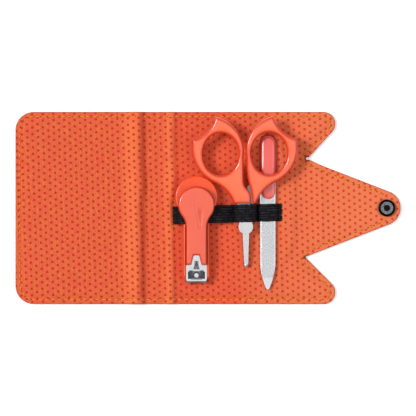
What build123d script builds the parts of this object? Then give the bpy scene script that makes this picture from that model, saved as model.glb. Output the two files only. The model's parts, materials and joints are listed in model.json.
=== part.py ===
from build123d import *
import math
import os

# Children's manicure set case, lying open and flat, with its three tools under an elastic band.
# Millimetres. +X runs from the front cover to the tip of the closing flap, +Y along the fold
# lines, +Z up out of the lining. The origin is the middle of the bounding box, at its bottom.

# ---------------------------------------------------------------- case: driving dimensions
case_width = 115.4  # along the folds
cover_length = 76.3  # front cover, from its fold to its free edge
close_clearance = 5.5  # free edge of the closed cover to the gusset's fold
flap_length = 37.8  # closing flap, from its fold to its tip
cover_corner_radius = 11.0
ear_tip_radius = 7.1
ear_angle = 45.0  # slope of an ear's inner edge
gusset_half_width = 29.2  # half width of the closing strip at its fold
notch_gap = 0.8  # between the closing strip and the root of each ear
flap_tip_radius = 10.5
snap_from_tip = 8.3  # middle of the snap to the tip of the flap

# layers of the panels
skin_thickness = 0.7
margin_thickness = 0.6  # lining where it is sewn down round the edge
board_thickness = 1.0
padding_thickness = 0.9  # lining and foam over a board
flap_board_thickness = 0.5
flap_padding_thickness = 0.8
spine_lining_thickness = 1.2
gusset_lining_thickness = 0.9
seam_margin = 4.0  # sewn edge round every panel
board_inset = 5.2  # edge of a board to the edge of its panel
flap_seam_margin = 2.0
flap_board_inset = 3.7
fold_inset = 3.0  # edge of a board to a fold line
padding_slope = 40.0  # lean of the padding's edge, from upright
hinge_height = 0.4  # fold axis over the outer face
fold_gap = 0.05  # on each side of a fold line

# elastic band
band_width = 10.5
band_thickness = 0.6
band_left = -20.5
band_right = 43.9
band_middle_y = -3.5
band_slant = 1.7  # degrees
band_over_tool = 0.3  # clearance over each tool
band_beside_tool = 0.5  # and beside it
band_lean = 0.6  # how far a steep side of the band leans out
tack_half_length = 0.6  # half of each place where the band is sewn down between two tools
tack_from_shank = 2.5  # middle of the first of these to the scissors' shank

# snap fastener
snap_radius = 5.1
cap_height = 0.7
cap_barrel_radius = 1.6
cap_flat_radius = 3.4  # the cap's flat middle
cap_edge_rise = 0.42
socket_height = 1.9
socket_fit = 0.15  # socket to the edge of its seat in the lining
socket_sink = 0.6  # the socket is pressed this far into the flap's lining
socket_rim_width = 0.6
socket_rim_drop = 0.35  # the rim's outer edge lies this far under the ring round the bore
socket_groove_width = 0.8
socket_bore_radius = 1.85
stud_clearance = 0.1  # between stud and socket, closed
stud_knob_radius = 1.75
stud_waist_radius = 1.5
stud_knob_flat_radius = 1.2
stud_knob_round = 0.42
stud_bottom_thickness = 0.1
stud_flange_thickness = 0.4
stud_flange_radius = 4.4
stud_dish_depth = 1.1  # the stud sits in a dish in the cover's outer face
stud_dish_radius = 6.0
stud_height = 1.4
post_radius = 1.2
post_flange_radius = 3.0
post_flange_thickness = 0.3
dish_fit = 0.3  # board and lining to the dish's wall
snap_fit = 0.05  # posts and barrels in their holes

# nail file
file_x = 36.1
file_handle_width = 10.5
file_handle_length = 39.9
file_handle_thickness = 2.8
file_handle_low_y = 4.2
file_handle_bevel = 0.8
file_blade_x = 35.8  # the blade sits a little to the left in its handle
file_blade_width = 9.2
file_blade_thickness = 1.2
file_blade_tip_y = -48.8
file_blade_taper_length = 15.4
file_tip_half_width = 0.8
file_tip_drop = 0.3  # the blunt end under the two curved sides
file_taper_half_width = 3.04  # half width on the way to the tip, this far from it
file_taper_y = 6.5
file_tang_length = 15.0

# scissors, flat in their own plane round the pivot, before they are tilted
pivot_x = 22.6
pivot_y = -11.1
scissors_turn = 0.72  # degrees, in plan
inner_edge_x = 0.85  # a ring's edge along the middle line
inner_edge_y = 42.0
ring_top_x = 5.3
ring_top_y = 58.7
upper_point_x = 17.2  # the two points of a ring's ear, with a hollow edge between them
upper_point_y = 65.9
point_hollow_x = 22.0
point_hollow_y = 57.5
side_point_x = 31.3
side_point_y = 52.3
outer_edge_x = 31.5
outer_edge_y = 46.2
outer_bend_x = 27.9
outer_bend_y = 34.8
neck_top_x = 18.5  # the ring's lower edge runs into the hollow side of the neck
neck_top_y = 26.7
left_neck_out_x = 7.0
left_neck_in_x = 3.3
left_neck_in_y = 18.0
left_neck_bend_x = 1.1
left_neck_bend_y = 22.9
left_neck_start_y = 27.5
right_neck_out_x = 6.2
right_neck_start_y = 36.0
right_neck_in_x = 4.2
right_neck_bend_x = 2.6
right_neck_bend_y = 24.0
steel_thickness = 1.4
layer_gap = 0.05  # each blade to the plane between them
handle_thickness = 4.2
ring_x = 14.45  # middle of a finger hole
ring_y = 43.65
hole_half_width = 10.7
hole_half_length = 12.6
pivot_head_radius = 4.3
pivot_head_thickness = 0.6
pivot_back_radius = 2.6
pivot_shaft_radius = 1.5
pivot_clearance = 0.05
blade_width_at_pivot = 4.2
blade_width_at_tip = 2.3
blade_length = 23.0  # pivot to the middle of the ball
ball_radius = 1.6
ball_facets = 6
ball_clearance = 0.3  # ball to the end of the other blade
crossing_y = 25.0  # below this the left handle passes over the right shank
neck_end_y = 13.6  # lower end of the plastic, just above the band
shank_half_width = 3.6
shank_left = 4.6  # reach of the steel under the band, to the left and right of the pivot
shank_right = 5.1
right_shank_inner = 2.0
left_shank_inner = 2.6
tang_top_y = 26.0  # the shanks end inside the plastic
tang_shoulder_y = 24.0
left_tang_x = 6.0  # middle of each shank's end
left_tang_half_width = 2.2
right_tang_x = 3.8
right_tang_half_width = 2.6
handle_edge = 0.85  # bevel round the handles
finger_hole_edge = 0.8  # bevel round the finger holes
handle_crossing_from_ball = 42.6  # where the handles rest on the file, from the middle of the ball
ear_tip_from_ball = 88.9

# nail clipper, heights over the lining
clipper_x = -6.9
clipper_head_y = 6.5
clipper_head_radius = 12.7
housing_width = 15.6
housing_wall = 1.4
housing_floor = 1.0
housing_height = 5.4
housing_end_y = -41.6
housing_neck_radius = 9.0
housing_edge = 0.5
jaw_width = 12.4
jaw_thickness = 1.2
jaw_rear_y = 1.0
channel_end_gap = 0.4  # jaws to the end of the housing's channel
jaw_front_y = -45.3
jaw_hinge_y = -2.0
jaw_spread = 3.2  # degrees between the two jaws
jaw_gap = 0.05  # between jaws at the rear, and jaw to floor
jaw_bite = 1.6  # gap between the cutting edges
jaw_lip_length = 1.1  # the flat behind each cutting edge
jaw_nose_length = 1.6  # the slope from the lip back to the jaw's outer face
upper_jaw_bend = 3.5  # the upper jaw lies level from here, behind the pin, to its lip
cutting_edge_radius = 14.0
cutting_edge_width = 10.5
jaw_shoulder_length = 3.0  # where the jaws narrow towards the cutting edge
jaw_window_inner = 3.0  # a window through the upper jaw on each side of the pin
jaw_window_outer = 5.1
jaw_window_length = 4.4
pin_y = -40.2
pin_radius = 1.6
pin_head_radius = 1.9
pin_head_thickness = 0.9
pin_head_edge = 0.4
pin_in_upper_jaw = 0.4  # clearance that lets the upper jaw swing on the pin
pin_foot_radius = 2.5
pin_foot_thickness = 0.6
bar_radius = 0.6
bar_offset = 0.9  # the lever's cross bar lies this far in front of the pin's axis
running_clearance = 0.1
foot_clearance = 0.4  # pin's foot to its hole in the floor
lever_over_jaw = 0.25
lever_plate_width = 9.0
lever_thickness = 1.2
lever_rail_width = 1.1
lever_window_length = 3.6
lever_window_clearance = 0.4  # beside the pin's head
lever_shoulder = 0.6
lever_in_head = 2.0  # the plate ends this far past the middle of the cover's head
lever_dimple_start = 5.8  # from the pin's axis; the dimple deepens from here
lever_dimple_length = 2.8
lever_dimple_width = 2.6
lever_dimple_depth = 0.7
lever_rise = 1.9  # degrees
lever_cover_width = 12.4
lever_cover_thickness = 2.9
lever_cover_edge = 0.7
lever_cover_end_y = -34.0
lever_head_y = 2.0
lever_head_radius = 10.9
lever_neck_radius = 12.0
thumb_facet_depth = 0.45  # a three-sided hollow in the cover, for the thumb
thumb_facet_top_x = -1.2
thumb_facet_top_y = 5.4
thumb_facet_side_x = 5.6
thumb_facet_side_y = 1.0
thumb_facet_low_x = 3.2
thumb_facet_low_y = -15.4
thumb_facet_deepest_x = 1.5
thumb_facet_deepest_y = -4.3
cover_notch_length = 5.7
cover_notch_wide = 6.0
cover_notch_narrow = 3.2
rivet_radius = 1.5
rivet_head_radius = 2.4
rivet_head_thickness = 0.5
rivet_clearance = 0.3  # rivet in the upper jaw, which swings on it
rivet_head_gap = 0.2

rest_gap = 0.15  # tools to the lining
closing_clearance = 0.6  # tools to the closed cover

# ---------------------------------------------------------------- heights worked out from these
case_bottom = cap_height
panel_thickness = skin_thickness + board_thickness + padding_thickness
flap_thickness = skin_thickness + flap_board_thickness + flap_padding_thickness
lining_top = case_bottom + panel_thickness
ground = lining_top + rest_gap

# the scissors lean on the file's handle: their plane rises from the ball at the tip
file_top = rest_gap + file_handle_thickness
handle_lift = file_top + rest_gap + handle_thickness / 2 - ball_radius
scissors_tilt = math.degrees(math.atan(handle_lift / handle_crossing_from_ball))
ear_rise = ear_tip_from_ball * math.sin(math.radians(scissors_tilt))
scissors_top = rest_gap + ball_radius + ear_rise + handle_thickness / 2
inner_height = scissors_top + closing_clearance

spine_width = inner_height + 2 * panel_thickness - 2 * hinge_height
snap_gap = (
    stud_flange_thickness + stud_clearance + socket_height - socket_sink - stud_dish_depth
)  # closed cover to the flap's lining
gusset_width = spine_width + flap_thickness + snap_gap
back_length = cover_length + close_clearance
case_length = cover_length + spine_width + back_length + gusset_width + flap_length

x_free_edge = -case_length / 2
x_cover_fold = x_free_edge + cover_length
x_spine_fold = x_cover_fold + spine_width
x_gusset_fold = x_spine_fold + back_length
x_flap_fold = x_gusset_fold + gusset_width
x_tip = x_flap_fold + flap_length
x_snap = x_tip - snap_from_tip
x_stud = x_cover_fold + x_spine_fold - x_gusset_fold - x_flap_fold + x_snap
hinge_z = case_bottom + hinge_height


# ---------------------------------------------------------------- small helpers
def polygon(*points):
    """A flat face, facing up whichever way round its points are given."""
    pairs = zip(points, points[1:] + points[:1])
    if sum(a[0] * b[1] - b[0] * a[1] for a, b in pairs) < 0:
        points = points[::-1]
    return make_face(Polyline(*points, close=True))


def box_face(x0, x1, y0, y1):
    return polygon((x0, y0), (x1, y0), (x1, y1), (x0, y1))


def slab(face, bottom, top):
    """The flat face as a plate between two heights."""
    return Pos(0, 0, bottom) * extrude(face, top - bottom, dir=(0, 0, 1))


def disc(x, y, radius, bottom, top):
    return slab(Pos(x, y) * Circle(radius), bottom, top)


def round_corners(face, corners, radius):
    """Fillet the corners of a flat face that lie at the given points."""
    near = [v for v in face.vertices() if any((v.center() - Vector(*c)).length < 0.01 for c in corners)]
    return fillet(near, radius)


# ---------------------------------------------------------------- case outlines
def cover_outline(inset=0.0, fold=0.0):
    half = case_width / 2 - inset
    left = x_free_edge + inset
    face = box_face(left, x_cover_fold - fold, -half, half)
    return round_corners(face, [(left, half), (left, -half)], max(cover_corner_radius - inset, 1.0))


def spine_outline(inset=0.0, fold=0.0):
    half = case_width / 2 - inset
    return box_face(x_cover_fold + fold, x_spine_fold - fold, -half, half)


def back_outline(inset=0.0, fold=0.0):
    """The back panel with an ear at each end of the gusset's fold."""
    slope = math.radians(ear_angle)
    half = case_width / 2 - inset
    left = x_spine_fold + fold
    right = x_gusset_fold - fold
    edge_shift = inset / math.cos(slope)
    root = gusset_half_width + notch_gap + edge_shift - fold * math.tan(slope)
    ear_x = right + (half - root) / math.tan(slope)
    face = polygon((left, half), (ear_x, half), (right, root), (right, -root), (ear_x, -half), (left, -half))
    return round_corners(face, [(ear_x, half), (ear_x, -half)], max(ear_tip_radius - inset, 1.0))


def closing_outline(inset=0.0, start=None, end=None):
    """Gusset and flap: straight edges from the notches, tangent to the round tip."""
    centre_x = x_tip - flap_tip_radius
    run = centre_x - x_gusset_fold
    reach = math.hypot(run, gusset_half_width)
    lean = math.atan2(gusset_half_width, run) - math.asin(flap_tip_radius / reach)
    radius = flap_tip_radius - inset
    root = gusset_half_width - inset / math.cos(lean)
    touch = (centre_x + radius * math.sin(lean), radius * math.cos(lean))
    face = polygon((x_gusset_fold, root), touch, (touch[0], -touch[1]), (x_gusset_fold, -root))
    face += Pos(centre_x, 0) * Circle(radius)
    start = x_gusset_fold if start is None else start
    end = x_tip if end is None else end
    return face & box_face(start, end, -case_width, case_width)


def fold_groove(x):
    """A V over a fold line, so that both sides close to a mitre as the panels fold up."""
    flare = panel_thickness
    low = case_bottom - panel_thickness
    profile = polygon(
        (x - fold_gap, low),
        (x + fold_gap, low),
        (x + fold_gap, hinge_z),
        (x + fold_gap + flare, hinge_z + flare),
        (x - fold_gap - flare, hinge_z + flare),
        (x - fold_gap, hinge_z),
    )
    return extrude(Plane.XZ * profile, case_width, both=True)


def padded_lining(outline, pad_outline, thickness):
    """Lining: a thin sewn margin, and padding that rises from it."""
    margin_top = case_bottom + skin_thickness + margin_thickness
    margin = slab(outline, case_bottom + skin_thickness, margin_top)
    rise = thickness - margin_thickness
    pad = Pos(0, 0, margin_top) * extrude(pad_outline, rise, dir=(0, 0, 1), taper=padding_slope)
    return margin + pad


def skin(outline):
    return slab(outline, case_bottom, case_bottom + skin_thickness)


# ---------------------------------------------------------------- case panels
def front_cover():
    groove = fold_groove(x_cover_fold)
    dish_roof = case_bottom + stud_dish_depth
    board_bottom = case_bottom + skin_thickness
    board_top = board_bottom + board_thickness
    roof_top = dish_roof + skin_thickness
    wall = skin_thickness
    outer = skin(cover_outline()) - groove
    outer += disc(x_stud, 0, stud_dish_radius + wall, board_bottom, roof_top)
    outer -= disc(x_stud, 0, stud_dish_radius, case_bottom, dish_roof)
    outer -= disc(x_stud, 0, post_radius + snap_fit, case_bottom, lining_top)
    seat = disc(x_stud, 0, stud_dish_radius + wall + dish_fit, board_bottom, roof_top + snap_fit)
    board = slab(cover_outline(board_inset, fold_inset), board_bottom, board_top)
    lining = padded_lining(
        cover_outline(), cover_outline(seam_margin, fold_gap), board_thickness + padding_thickness
    )
    lining -= board + groove + seat
    post_top = roof_top + post_flange_thickness
    lining -= disc(x_stud, 0, post_flange_radius + dish_fit, board_bottom, post_top + snap_fit)
    return {"front_skin": outer, "front_board": board - seat, "front_lining": lining}


def spine():
    grooves = fold_groove(x_cover_fold) + fold_groove(x_spine_fold)
    lining = padded_lining(
        spine_outline(), spine_outline(seam_margin, fold_gap), spine_lining_thickness
    )
    return {"spine_skin": skin(spine_outline()) - grooves, "spine_lining": lining - grooves}


def back_panel():
    root = gusset_half_width + notch_gap
    between_ears = slab(box_face(x_spine_fold, x_tip, -root, root), 0, lining_top)
    grooves = fold_groove(x_spine_fold) + (fold_groove(x_gusset_fold) & between_ears)
    board_bottom = case_bottom + skin_thickness
    board = slab(back_outline(board_inset, fold_inset), board_bottom, board_bottom + board_thickness)
    lining = padded_lining(
        back_outline(), back_outline(seam_margin, fold_gap), board_thickness + padding_thickness
    )
    return {
        "back_skin": skin(back_outline()) - grooves,
        "back_board": board,
        "back_lining": lining - board - grooves,
    }


def gusset():
    grooves = fold_groove(x_gusset_fold) + fold_groove(x_flap_fold)
    outline = closing_outline(0, x_gusset_fold, x_flap_fold)
    pad = closing_outline(seam_margin, x_gusset_fold + fold_gap, x_flap_fold - fold_gap)
    lining = padded_lining(outline, pad, gusset_lining_thickness)
    return {"gusset_skin": skin(outline) - grooves, "gusset_lining": lining - grooves}


def flap():
    groove = fold_groove(x_flap_fold)
    outline = closing_outline(0, x_flap_fold)
    pad = closing_outline(flap_seam_margin, x_flap_fold + fold_gap)
    board_bottom = case_bottom + skin_thickness
    board_top = board_bottom + flap_board_thickness
    board = slab(closing_outline(flap_board_inset, x_flap_fold + fold_inset), board_bottom, board_top)
    lining = padded_lining(outline, pad, flap_board_thickness + flap_padding_thickness)
    barrel = disc(x_snap, 0, cap_barrel_radius + snap_fit, 0, lining_top)
    socket_floor = case_bottom + flap_thickness - socket_sink
    seat = disc(x_snap, 0, snap_radius + socket_fit, socket_floor, lining_top)
    return {
        "flap_skin": skin(outline) - groove - barrel,
        "flap_board": board - barrel,
        "flap_lining": lining - board - groove - barrel - seat,
    }


# ---------------------------------------------------------------- snap fastener
def turned(*profile):
    """A body turned about the Z axis from its half profile."""
    return revolve(Plane.XZ * polygon(*profile), Axis.Z)


def snap_fastener():
    flap_outer = case_bottom
    socket_floor = case_bottom + flap_thickness - socket_sink
    socket_top = socket_floor + socket_height
    rim = snap_radius - socket_rim_width
    bore_floor = socket_top - stud_height - stud_clearance
    cap = turned(
        (0, 0),
        (cap_flat_radius, 0),
        (snap_radius, cap_edge_rise),
        (snap_radius, flap_outer),
        (cap_barrel_radius, flap_outer),
        (cap_barrel_radius, socket_floor),
        (0, socket_floor),
    )
    socket = turned(
        (0, socket_floor),
        (snap_radius, socket_floor),
        (snap_radius, socket_top - socket_rim_drop),
        (rim, socket_top - socket_rim_drop / 2),
        (rim - socket_groove_width / 2, socket_top - 1.5 * socket_rim_drop),
        (rim - socket_groove_width, socket_top),
        (socket_bore_radius, socket_top),
        (socket_bore_radius, bore_floor),
        (0, bore_floor),
    )
    flange_low = case_bottom + stud_dish_depth - stud_flange_thickness
    knob_low = flange_low - stud_height
    post_low = flange_low + stud_bottom_thickness
    stud = turned(
        (0, knob_low),
        (stud_knob_flat_radius, knob_low),
        (stud_knob_radius, knob_low + stud_knob_round),
        (stud_waist_radius, flange_low),
        (stud_flange_radius, flange_low),
        (stud_flange_radius, flange_low + stud_flange_thickness),
        (post_radius, flange_low + stud_flange_thickness),
        (post_radius, post_low),
        (0, post_low),
    )
    post_high = case_bottom + stud_dish_depth + skin_thickness
    post = turned(
        (0, post_low),
        (post_radius, post_low),
        (post_radius, post_high),
        (post_flange_radius, post_high),
        (post_flange_radius, post_high + post_flange_thickness),
        (0, post_high + post_flange_thickness),
    )
    return {
        "snap_cap": Pos(x_snap, 0, 0) * cap,
        "snap_socket": Pos(x_snap, 0, 0) * socket,
        "snap_stud": Pos(x_stud, 0, 0) * stud,
        "snap_post": Pos(x_stud, 0, 0) * post,
    }


# ---------------------------------------------------------------- elastic band
def ribbon(thickness, *under):
    """The side view of a band of even thickness over the given underside."""
    directions = [(Vector(*b) - Vector(*a)).normalized() for a, b in zip(under, under[1:])]
    over = []
    for point, before, after in zip(under, directions[:1] + directions, directions + directions[-1:]):
        across = Vector(-before.Y - after.Y, before.X + after.X).normalized()
        over.append(Vector(*point) + across * (thickness / across.dot(Vector(-before.Y, before.X))))
    return make_face(Polyline(*under, *[(p.X, p.Y) for p in reversed(over)], close=True))


def elastic_band():
    flat = lining_top
    over_clipper = flat + rest_gap + housing_height + band_over_tool
    over_scissors = flat + scissors_shank_top() + band_over_tool
    blade_top = rest_gap + (file_handle_thickness + file_blade_thickness) / 2
    over_file = flat + blade_top + band_over_tool
    upper_edge = band_middle_y + band_width / 2
    head_half = math.sqrt(clipper_head_radius**2 - (clipper_head_y - upper_edge) ** 2) + band_over_tool
    beside = band_beside_tool
    clipper_left = clipper_x - head_half - beside
    clipper_right = clipper_x + head_half + beside
    shank_low = pivot_x - shank_left
    shank_high = pivot_x + shank_right
    blade_left = file_blade_x - file_blade_width / 2
    blade_right = file_blade_x + file_blade_width / 2 + beside
    first_tack = shank_low - tack_from_shank
    second_tack = (shank_high + blade_left) / 2
    strip = ribbon(
        band_thickness,
        (band_left, flat),
        (clipper_left - band_lean, flat),
        (clipper_left, over_clipper),
        (clipper_right, over_clipper),
        (first_tack - tack_half_length, flat),
        (first_tack + tack_half_length, flat),
        (shank_low - beside, over_scissors),
        (shank_high + beside, over_scissors),
        (second_tack - tack_half_length, flat),
        (second_tack + tack_half_length, flat),
        (blade_left - beside, over_file),
        (blade_right, over_file),
        (blade_right + band_lean, flat),
        (band_right, flat),
    )
    band = extrude(Plane.XZ * strip, band_width / 2, both=True)
    middle_x = (band_left + band_right) / 2
    return Pos(middle_x, band_middle_y, 0) * Rot(0, 0, band_slant) * Pos(-middle_x, 0, 0) * band


# ---------------------------------------------------------------- nail file
def nail_file():
    middle = ground + file_handle_thickness / 2
    blade_end = file_handle_low_y + file_tang_length
    half = file_blade_width / 2
    taper_y = file_blade_tip_y + file_blade_taper_length
    side = Line((half, blade_end), (half, taper_y))
    curve = ThreePointArc(
        (half, taper_y),
        (file_taper_half_width, file_blade_tip_y + file_taper_y),
        (file_tip_half_width, file_blade_tip_y + file_tip_drop),
    )
    tip = Line(curve @ 1, (0, file_blade_tip_y))
    right = side + curve + tip
    outline = make_face(right + mirror(right, Plane.YZ) + Line((half, blade_end), (-half, blade_end)))
    blade = Pos(file_blade_x, 0, 0) * slab(
        outline, middle - file_blade_thickness / 2, middle + file_blade_thickness / 2
    )
    handle_face = Pos(file_x, file_handle_low_y + file_handle_length / 2) * SlotOverall(
        file_handle_length, file_handle_width, rotation=90
    )
    handle = slab(handle_face, ground, ground + file_handle_thickness)
    handle = chamfer(handle.faces().sort_by(Axis.Z)[-1].edges(), file_handle_bevel)
    return {"file_blade": blade, "file_handle": handle - blade}


# ---------------------------------------------------------------- scissors
def scissors_place():
    """From the scissors' own plane, round the pivot, to where they lie in the case."""
    rise = blade_length * math.sin(math.radians(scissors_tilt))
    height = ground + ball_radius + rise
    return Pos(pivot_x, pivot_y, height) * Rot(scissors_tilt, 0, 0) * Rot(0, 0, scissors_turn)


def scissors_shank_top():
    """Height over the lining of the upper shank's top, under the middle of the band."""
    along = blade_length + (band_middle_y + band_width / 2 - pivot_y)
    tilt = math.radians(scissors_tilt)
    top = layer_gap + steel_thickness + pivot_head_thickness / 2
    return rest_gap + ball_radius + along * math.sin(tilt) + top


def handle_face(side, neck_out_x, inner_side):
    """A ring with its two points, and its neck. side is -1 for the left handle."""

    def at(x, y):
        return (side * x, y)

    top = ThreePointArc(
        at(inner_edge_x, inner_edge_y), at(ring_top_x, ring_top_y), at(upper_point_x, upper_point_y)
    )
    hollow = ThreePointArc(top @ 1, at(point_hollow_x, point_hollow_y), at(side_point_x, side_point_y))
    outside = Line(hollow @ 1, at(outer_edge_x, outer_edge_y))
    bottom = ThreePointArc(outside @ 1, at(outer_bend_x, outer_bend_y), at(neck_top_x, neck_top_y))
    neck_outside = TangentArc(bottom @ 1, at(neck_out_x, neck_end_y), tangent=bottom % 1)
    end = Line(neck_outside @ 1, inner_side[-1] @ 1)
    return make_face([top, hollow, outside, bottom, neck_outside, end, *inner_side])


def left_handle_outline():
    straight = Line((-inner_edge_x, inner_edge_y), (-inner_edge_x, left_neck_start_y))
    outward = TangentArc(straight @ 1, (left_neck_bend_x, left_neck_bend_y), tangent=straight % 1)
    inward = TangentArc(outward @ 1, (left_neck_in_x, left_neck_in_y), tangent=outward % 1)
    down = Line(inward @ 1, (left_neck_in_x, neck_end_y))
    return handle_face(-1, left_neck_out_x, [straight, outward, inward, down])


def right_handle_outline():
    """The right handle's neck is narrower than the left one, which crosses over it."""
    straight = Line((inner_edge_x, inner_edge_y), (inner_edge_x, right_neck_start_y))
    outward = TangentArc(straight @ 1, (right_neck_bend_x, right_neck_bend_y), tangent=straight % 1)
    inward = TangentArc(outward @ 1, (right_neck_in_x, neck_end_y), tangent=outward % 1)
    return handle_face(1, right_neck_out_x, [straight, outward, inward])


def steel_half(side):
    """Blade, pivot boss, shank and tang of one half. side is +1 for the half with the right ring."""
    half_pivot = blade_width_at_pivot / 2
    half_tip = blade_width_at_tip / 2
    low = ball_radius / 4 - blade_length
    blade = polygon((half_pivot, 0), (half_tip, low), (-half_tip, low), (-half_pivot, 0))
    boss = Circle(pivot_head_radius)
    if side > 0:
        left, right = right_shank_inner, shank_right
        middle, half_end = right_tang_x, right_tang_half_width
    else:
        left, right = -shank_left, left_shank_inner
        middle, half_end = -left_tang_x, left_tang_half_width
    tang = polygon(
        (left, neck_end_y),
        (middle - half_end, tang_shoulder_y),
        (middle, tang_top_y),
        (middle + half_end, tang_shoulder_y),
        (right, neck_end_y),
    )
    shank = polygon((shank_half_width, 0), (right, neck_end_y), (left, neck_end_y), (-shank_half_width, 0))
    return blade + boss + shank + tang


def ball_tip():
    """The rounded tip, turned about the long axis of the blade it ends."""
    turns = [math.radians(90 - step * 180 / ball_facets) for step in range(ball_facets + 1)]
    profile = polygon(*[(ball_radius * math.cos(a), ball_radius * math.sin(a)) for a in turns])
    return Pos(0, -blade_length, 0) * revolve(profile, Axis.Y)


def scissors():
    place = scissors_place()
    upper = steel_thickness + layer_gap
    half_thick = handle_thickness / 2
    shaft_hole = disc(0, 0, pivot_shaft_radius + pivot_clearance, -half_thick, half_thick)
    left_steel = slab(steel_half(-1), layer_gap, upper) - shaft_hole
    right_steel = slab(steel_half(1), -upper, -layer_gap) - shaft_hole
    ball_room = disc(0, -blade_length, ball_radius + ball_clearance, -half_thick, 0)
    left_steel += ball_tip()
    right_steel -= ball_room
    head_low = upper + pivot_clearance
    head_top = head_low + pivot_head_thickness
    pivot = disc(0, 0, pivot_shaft_radius, -head_low, head_low)
    pivot += disc(0, 0, pivot_head_radius, head_low, head_top)
    pivot += disc(0, 0, pivot_back_radius, -head_top, -head_low)
    finger_hole = Ellipse(hole_half_width, hole_half_length)
    wide = Ellipse(hole_half_width + finger_hole_edge, hole_half_length + finger_hole_edge)
    rim_low = half_thick - finger_hole_edge

    def ring(outline, x):
        solid = slab(outline, -half_thick, half_thick)
        solid = chamfer(solid.faces().filter_by(Axis.Z).edges(), handle_edge)
        hole = slab(Pos(x, ring_y) * finger_hole, -half_thick, rim_low)
        hole += loft([Pos(x, ring_y, half_thick) * wide, Pos(x, ring_y, rim_low) * finger_hole])
        return solid - hole

    left = ring(left_handle_outline(), -ring_x)
    crossing = slab(box_face(-ring_x, ring_x, 0, crossing_y), -half_thick, layer_gap)
    left -= crossing + left_steel
    right = ring(right_handle_outline(), ring_x) - right_steel
    return {
        "scissor_blade_left": place * left_steel,
        "scissor_blade_right": place * right_steel,
        "scissor_handle_left": place * left,
        "scissor_handle_right": place * right,
        "scissor_pivot": place * pivot,
    }


# ---------------------------------------------------------------- nail clipper
def handle_outline(width, end_y, head_y, head_radius, neck_radius):
    """A straight shaft that widens into a round head, with hollow necks between them."""
    half = width / 2
    centre = half + neck_radius
    drop = math.sqrt((head_radius + neck_radius) ** 2 - centre**2)
    neck_y = head_y - drop
    share = head_radius / (head_radius + neck_radius)
    touch = (centre * share, head_y - drop * share)
    face = polygon((-half, end_y), (half, end_y), (half, neck_y), touch, (-touch[0], touch[1]), (-half, neck_y))
    for side in (-1, 1):
        face -= Pos(side * centre, neck_y) * Circle(neck_radius)
    return face + Pos(0, head_y) * Circle(head_radius)


def clipper_base():
    """The catcher housing, with a channel that the jaws lie in."""
    floor_top = ground + housing_floor
    outline = handle_outline(
        housing_width, housing_end_y, clipper_head_y, clipper_head_radius, housing_neck_radius
    )
    housing = slab(outline, ground, ground + housing_height)
    top_edges = housing.faces().sort_by(Axis.Z)[-1].edges()
    housing = chamfer(top_edges, housing_edge)
    inner = housing_width / 2 - housing_wall
    channel = box_face(-inner, inner, jaw_front_y, jaw_rear_y + channel_end_gap)
    housing -= slab(channel, floor_top, ground + housing_height)
    housing -= disc(0, pin_y, pin_foot_radius + foot_clearance, ground, floor_top)
    housing -= disc(0, jaw_hinge_y, rivet_radius, ground, floor_top)
    return housing


def jaw_outline(rear):
    """Seen from above: a strip whose front narrows to a hollow cutting edge."""
    half = jaw_width / 2
    edge = cutting_edge_width / 2
    shoulder = jaw_front_y + jaw_shoulder_length
    face = polygon(
        (-half, rear),
        (half, rear),
        (half, shoulder),
        (edge, jaw_front_y),
        (-edge, jaw_front_y),
        (-half, shoulder),
    )
    sag = cutting_edge_radius - math.sqrt(cutting_edge_radius**2 - edge**2)
    return face - Pos(0, jaw_front_y + sag - cutting_edge_radius) * Circle(cutting_edge_radius)


def clipper_jaws():
    """Two steel leaves that meet at the rivet and spread towards their cutting lips."""
    low = ground + housing_floor + jaw_gap
    parting = low + jaw_thickness + jaw_gap
    bend_y = pin_y + upper_jaw_bend
    lift = math.tan(math.radians(jaw_spread)) * (jaw_hinge_y - bend_y)
    upper_low = parting + lift
    jaw_top = upper_low + jaw_thickness
    lip_low = (low + jaw_top - jaw_bite) / 2
    lip_high = lip_low + jaw_bite
    lip_back = jaw_front_y + jaw_lip_length / 2
    lip_front = jaw_front_y - jaw_lip_length / 2
    nose = jaw_front_y + jaw_nose_length
    lower = polygon(
        (jaw_rear_y, low),
        (jaw_rear_y, low + jaw_thickness),
        (pin_y - pin_radius, low + jaw_thickness),
        (lip_back, lip_low),
        (lip_front, lip_low),
        (nose, low),
    )
    upper = polygon(
        (jaw_rear_y, parting),
        (jaw_hinge_y, parting),
        (bend_y, upper_low),
        (pin_y - pin_radius, upper_low),
        (lip_back, lip_high),
        (lip_front, lip_high),
        (nose, jaw_top),
        (bend_y, jaw_top),
        (jaw_hinge_y, parting + jaw_thickness),
        (jaw_rear_y, parting + jaw_thickness),
    )
    plan = slab(jaw_outline(jaw_rear_y), low, jaw_top)

    def leaf(profile, rivet_room, pin_room):
        solid = extrude(Plane.YZ * profile, jaw_width, both=True) & plan
        solid -= disc(0, jaw_hinge_y, rivet_radius + rivet_room, low, jaw_top)
        return solid - disc(0, pin_y, pin_radius + pin_room, low, jaw_top)

    lower_jaw = leaf(lower, 0, running_clearance)
    upper_jaw = leaf(upper, rivet_clearance, pin_in_upper_jaw)
    window_width = jaw_window_outer - jaw_window_inner
    window = Rectangle(window_width, jaw_window_length)
    for side in (-1, 1):
        x = side * (jaw_window_inner + window_width / 2)
        upper_jaw -= slab(Pos(x, pin_y) * window, low, jaw_top)
    return lower_jaw, upper_jaw, low, parting, jaw_top


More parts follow.
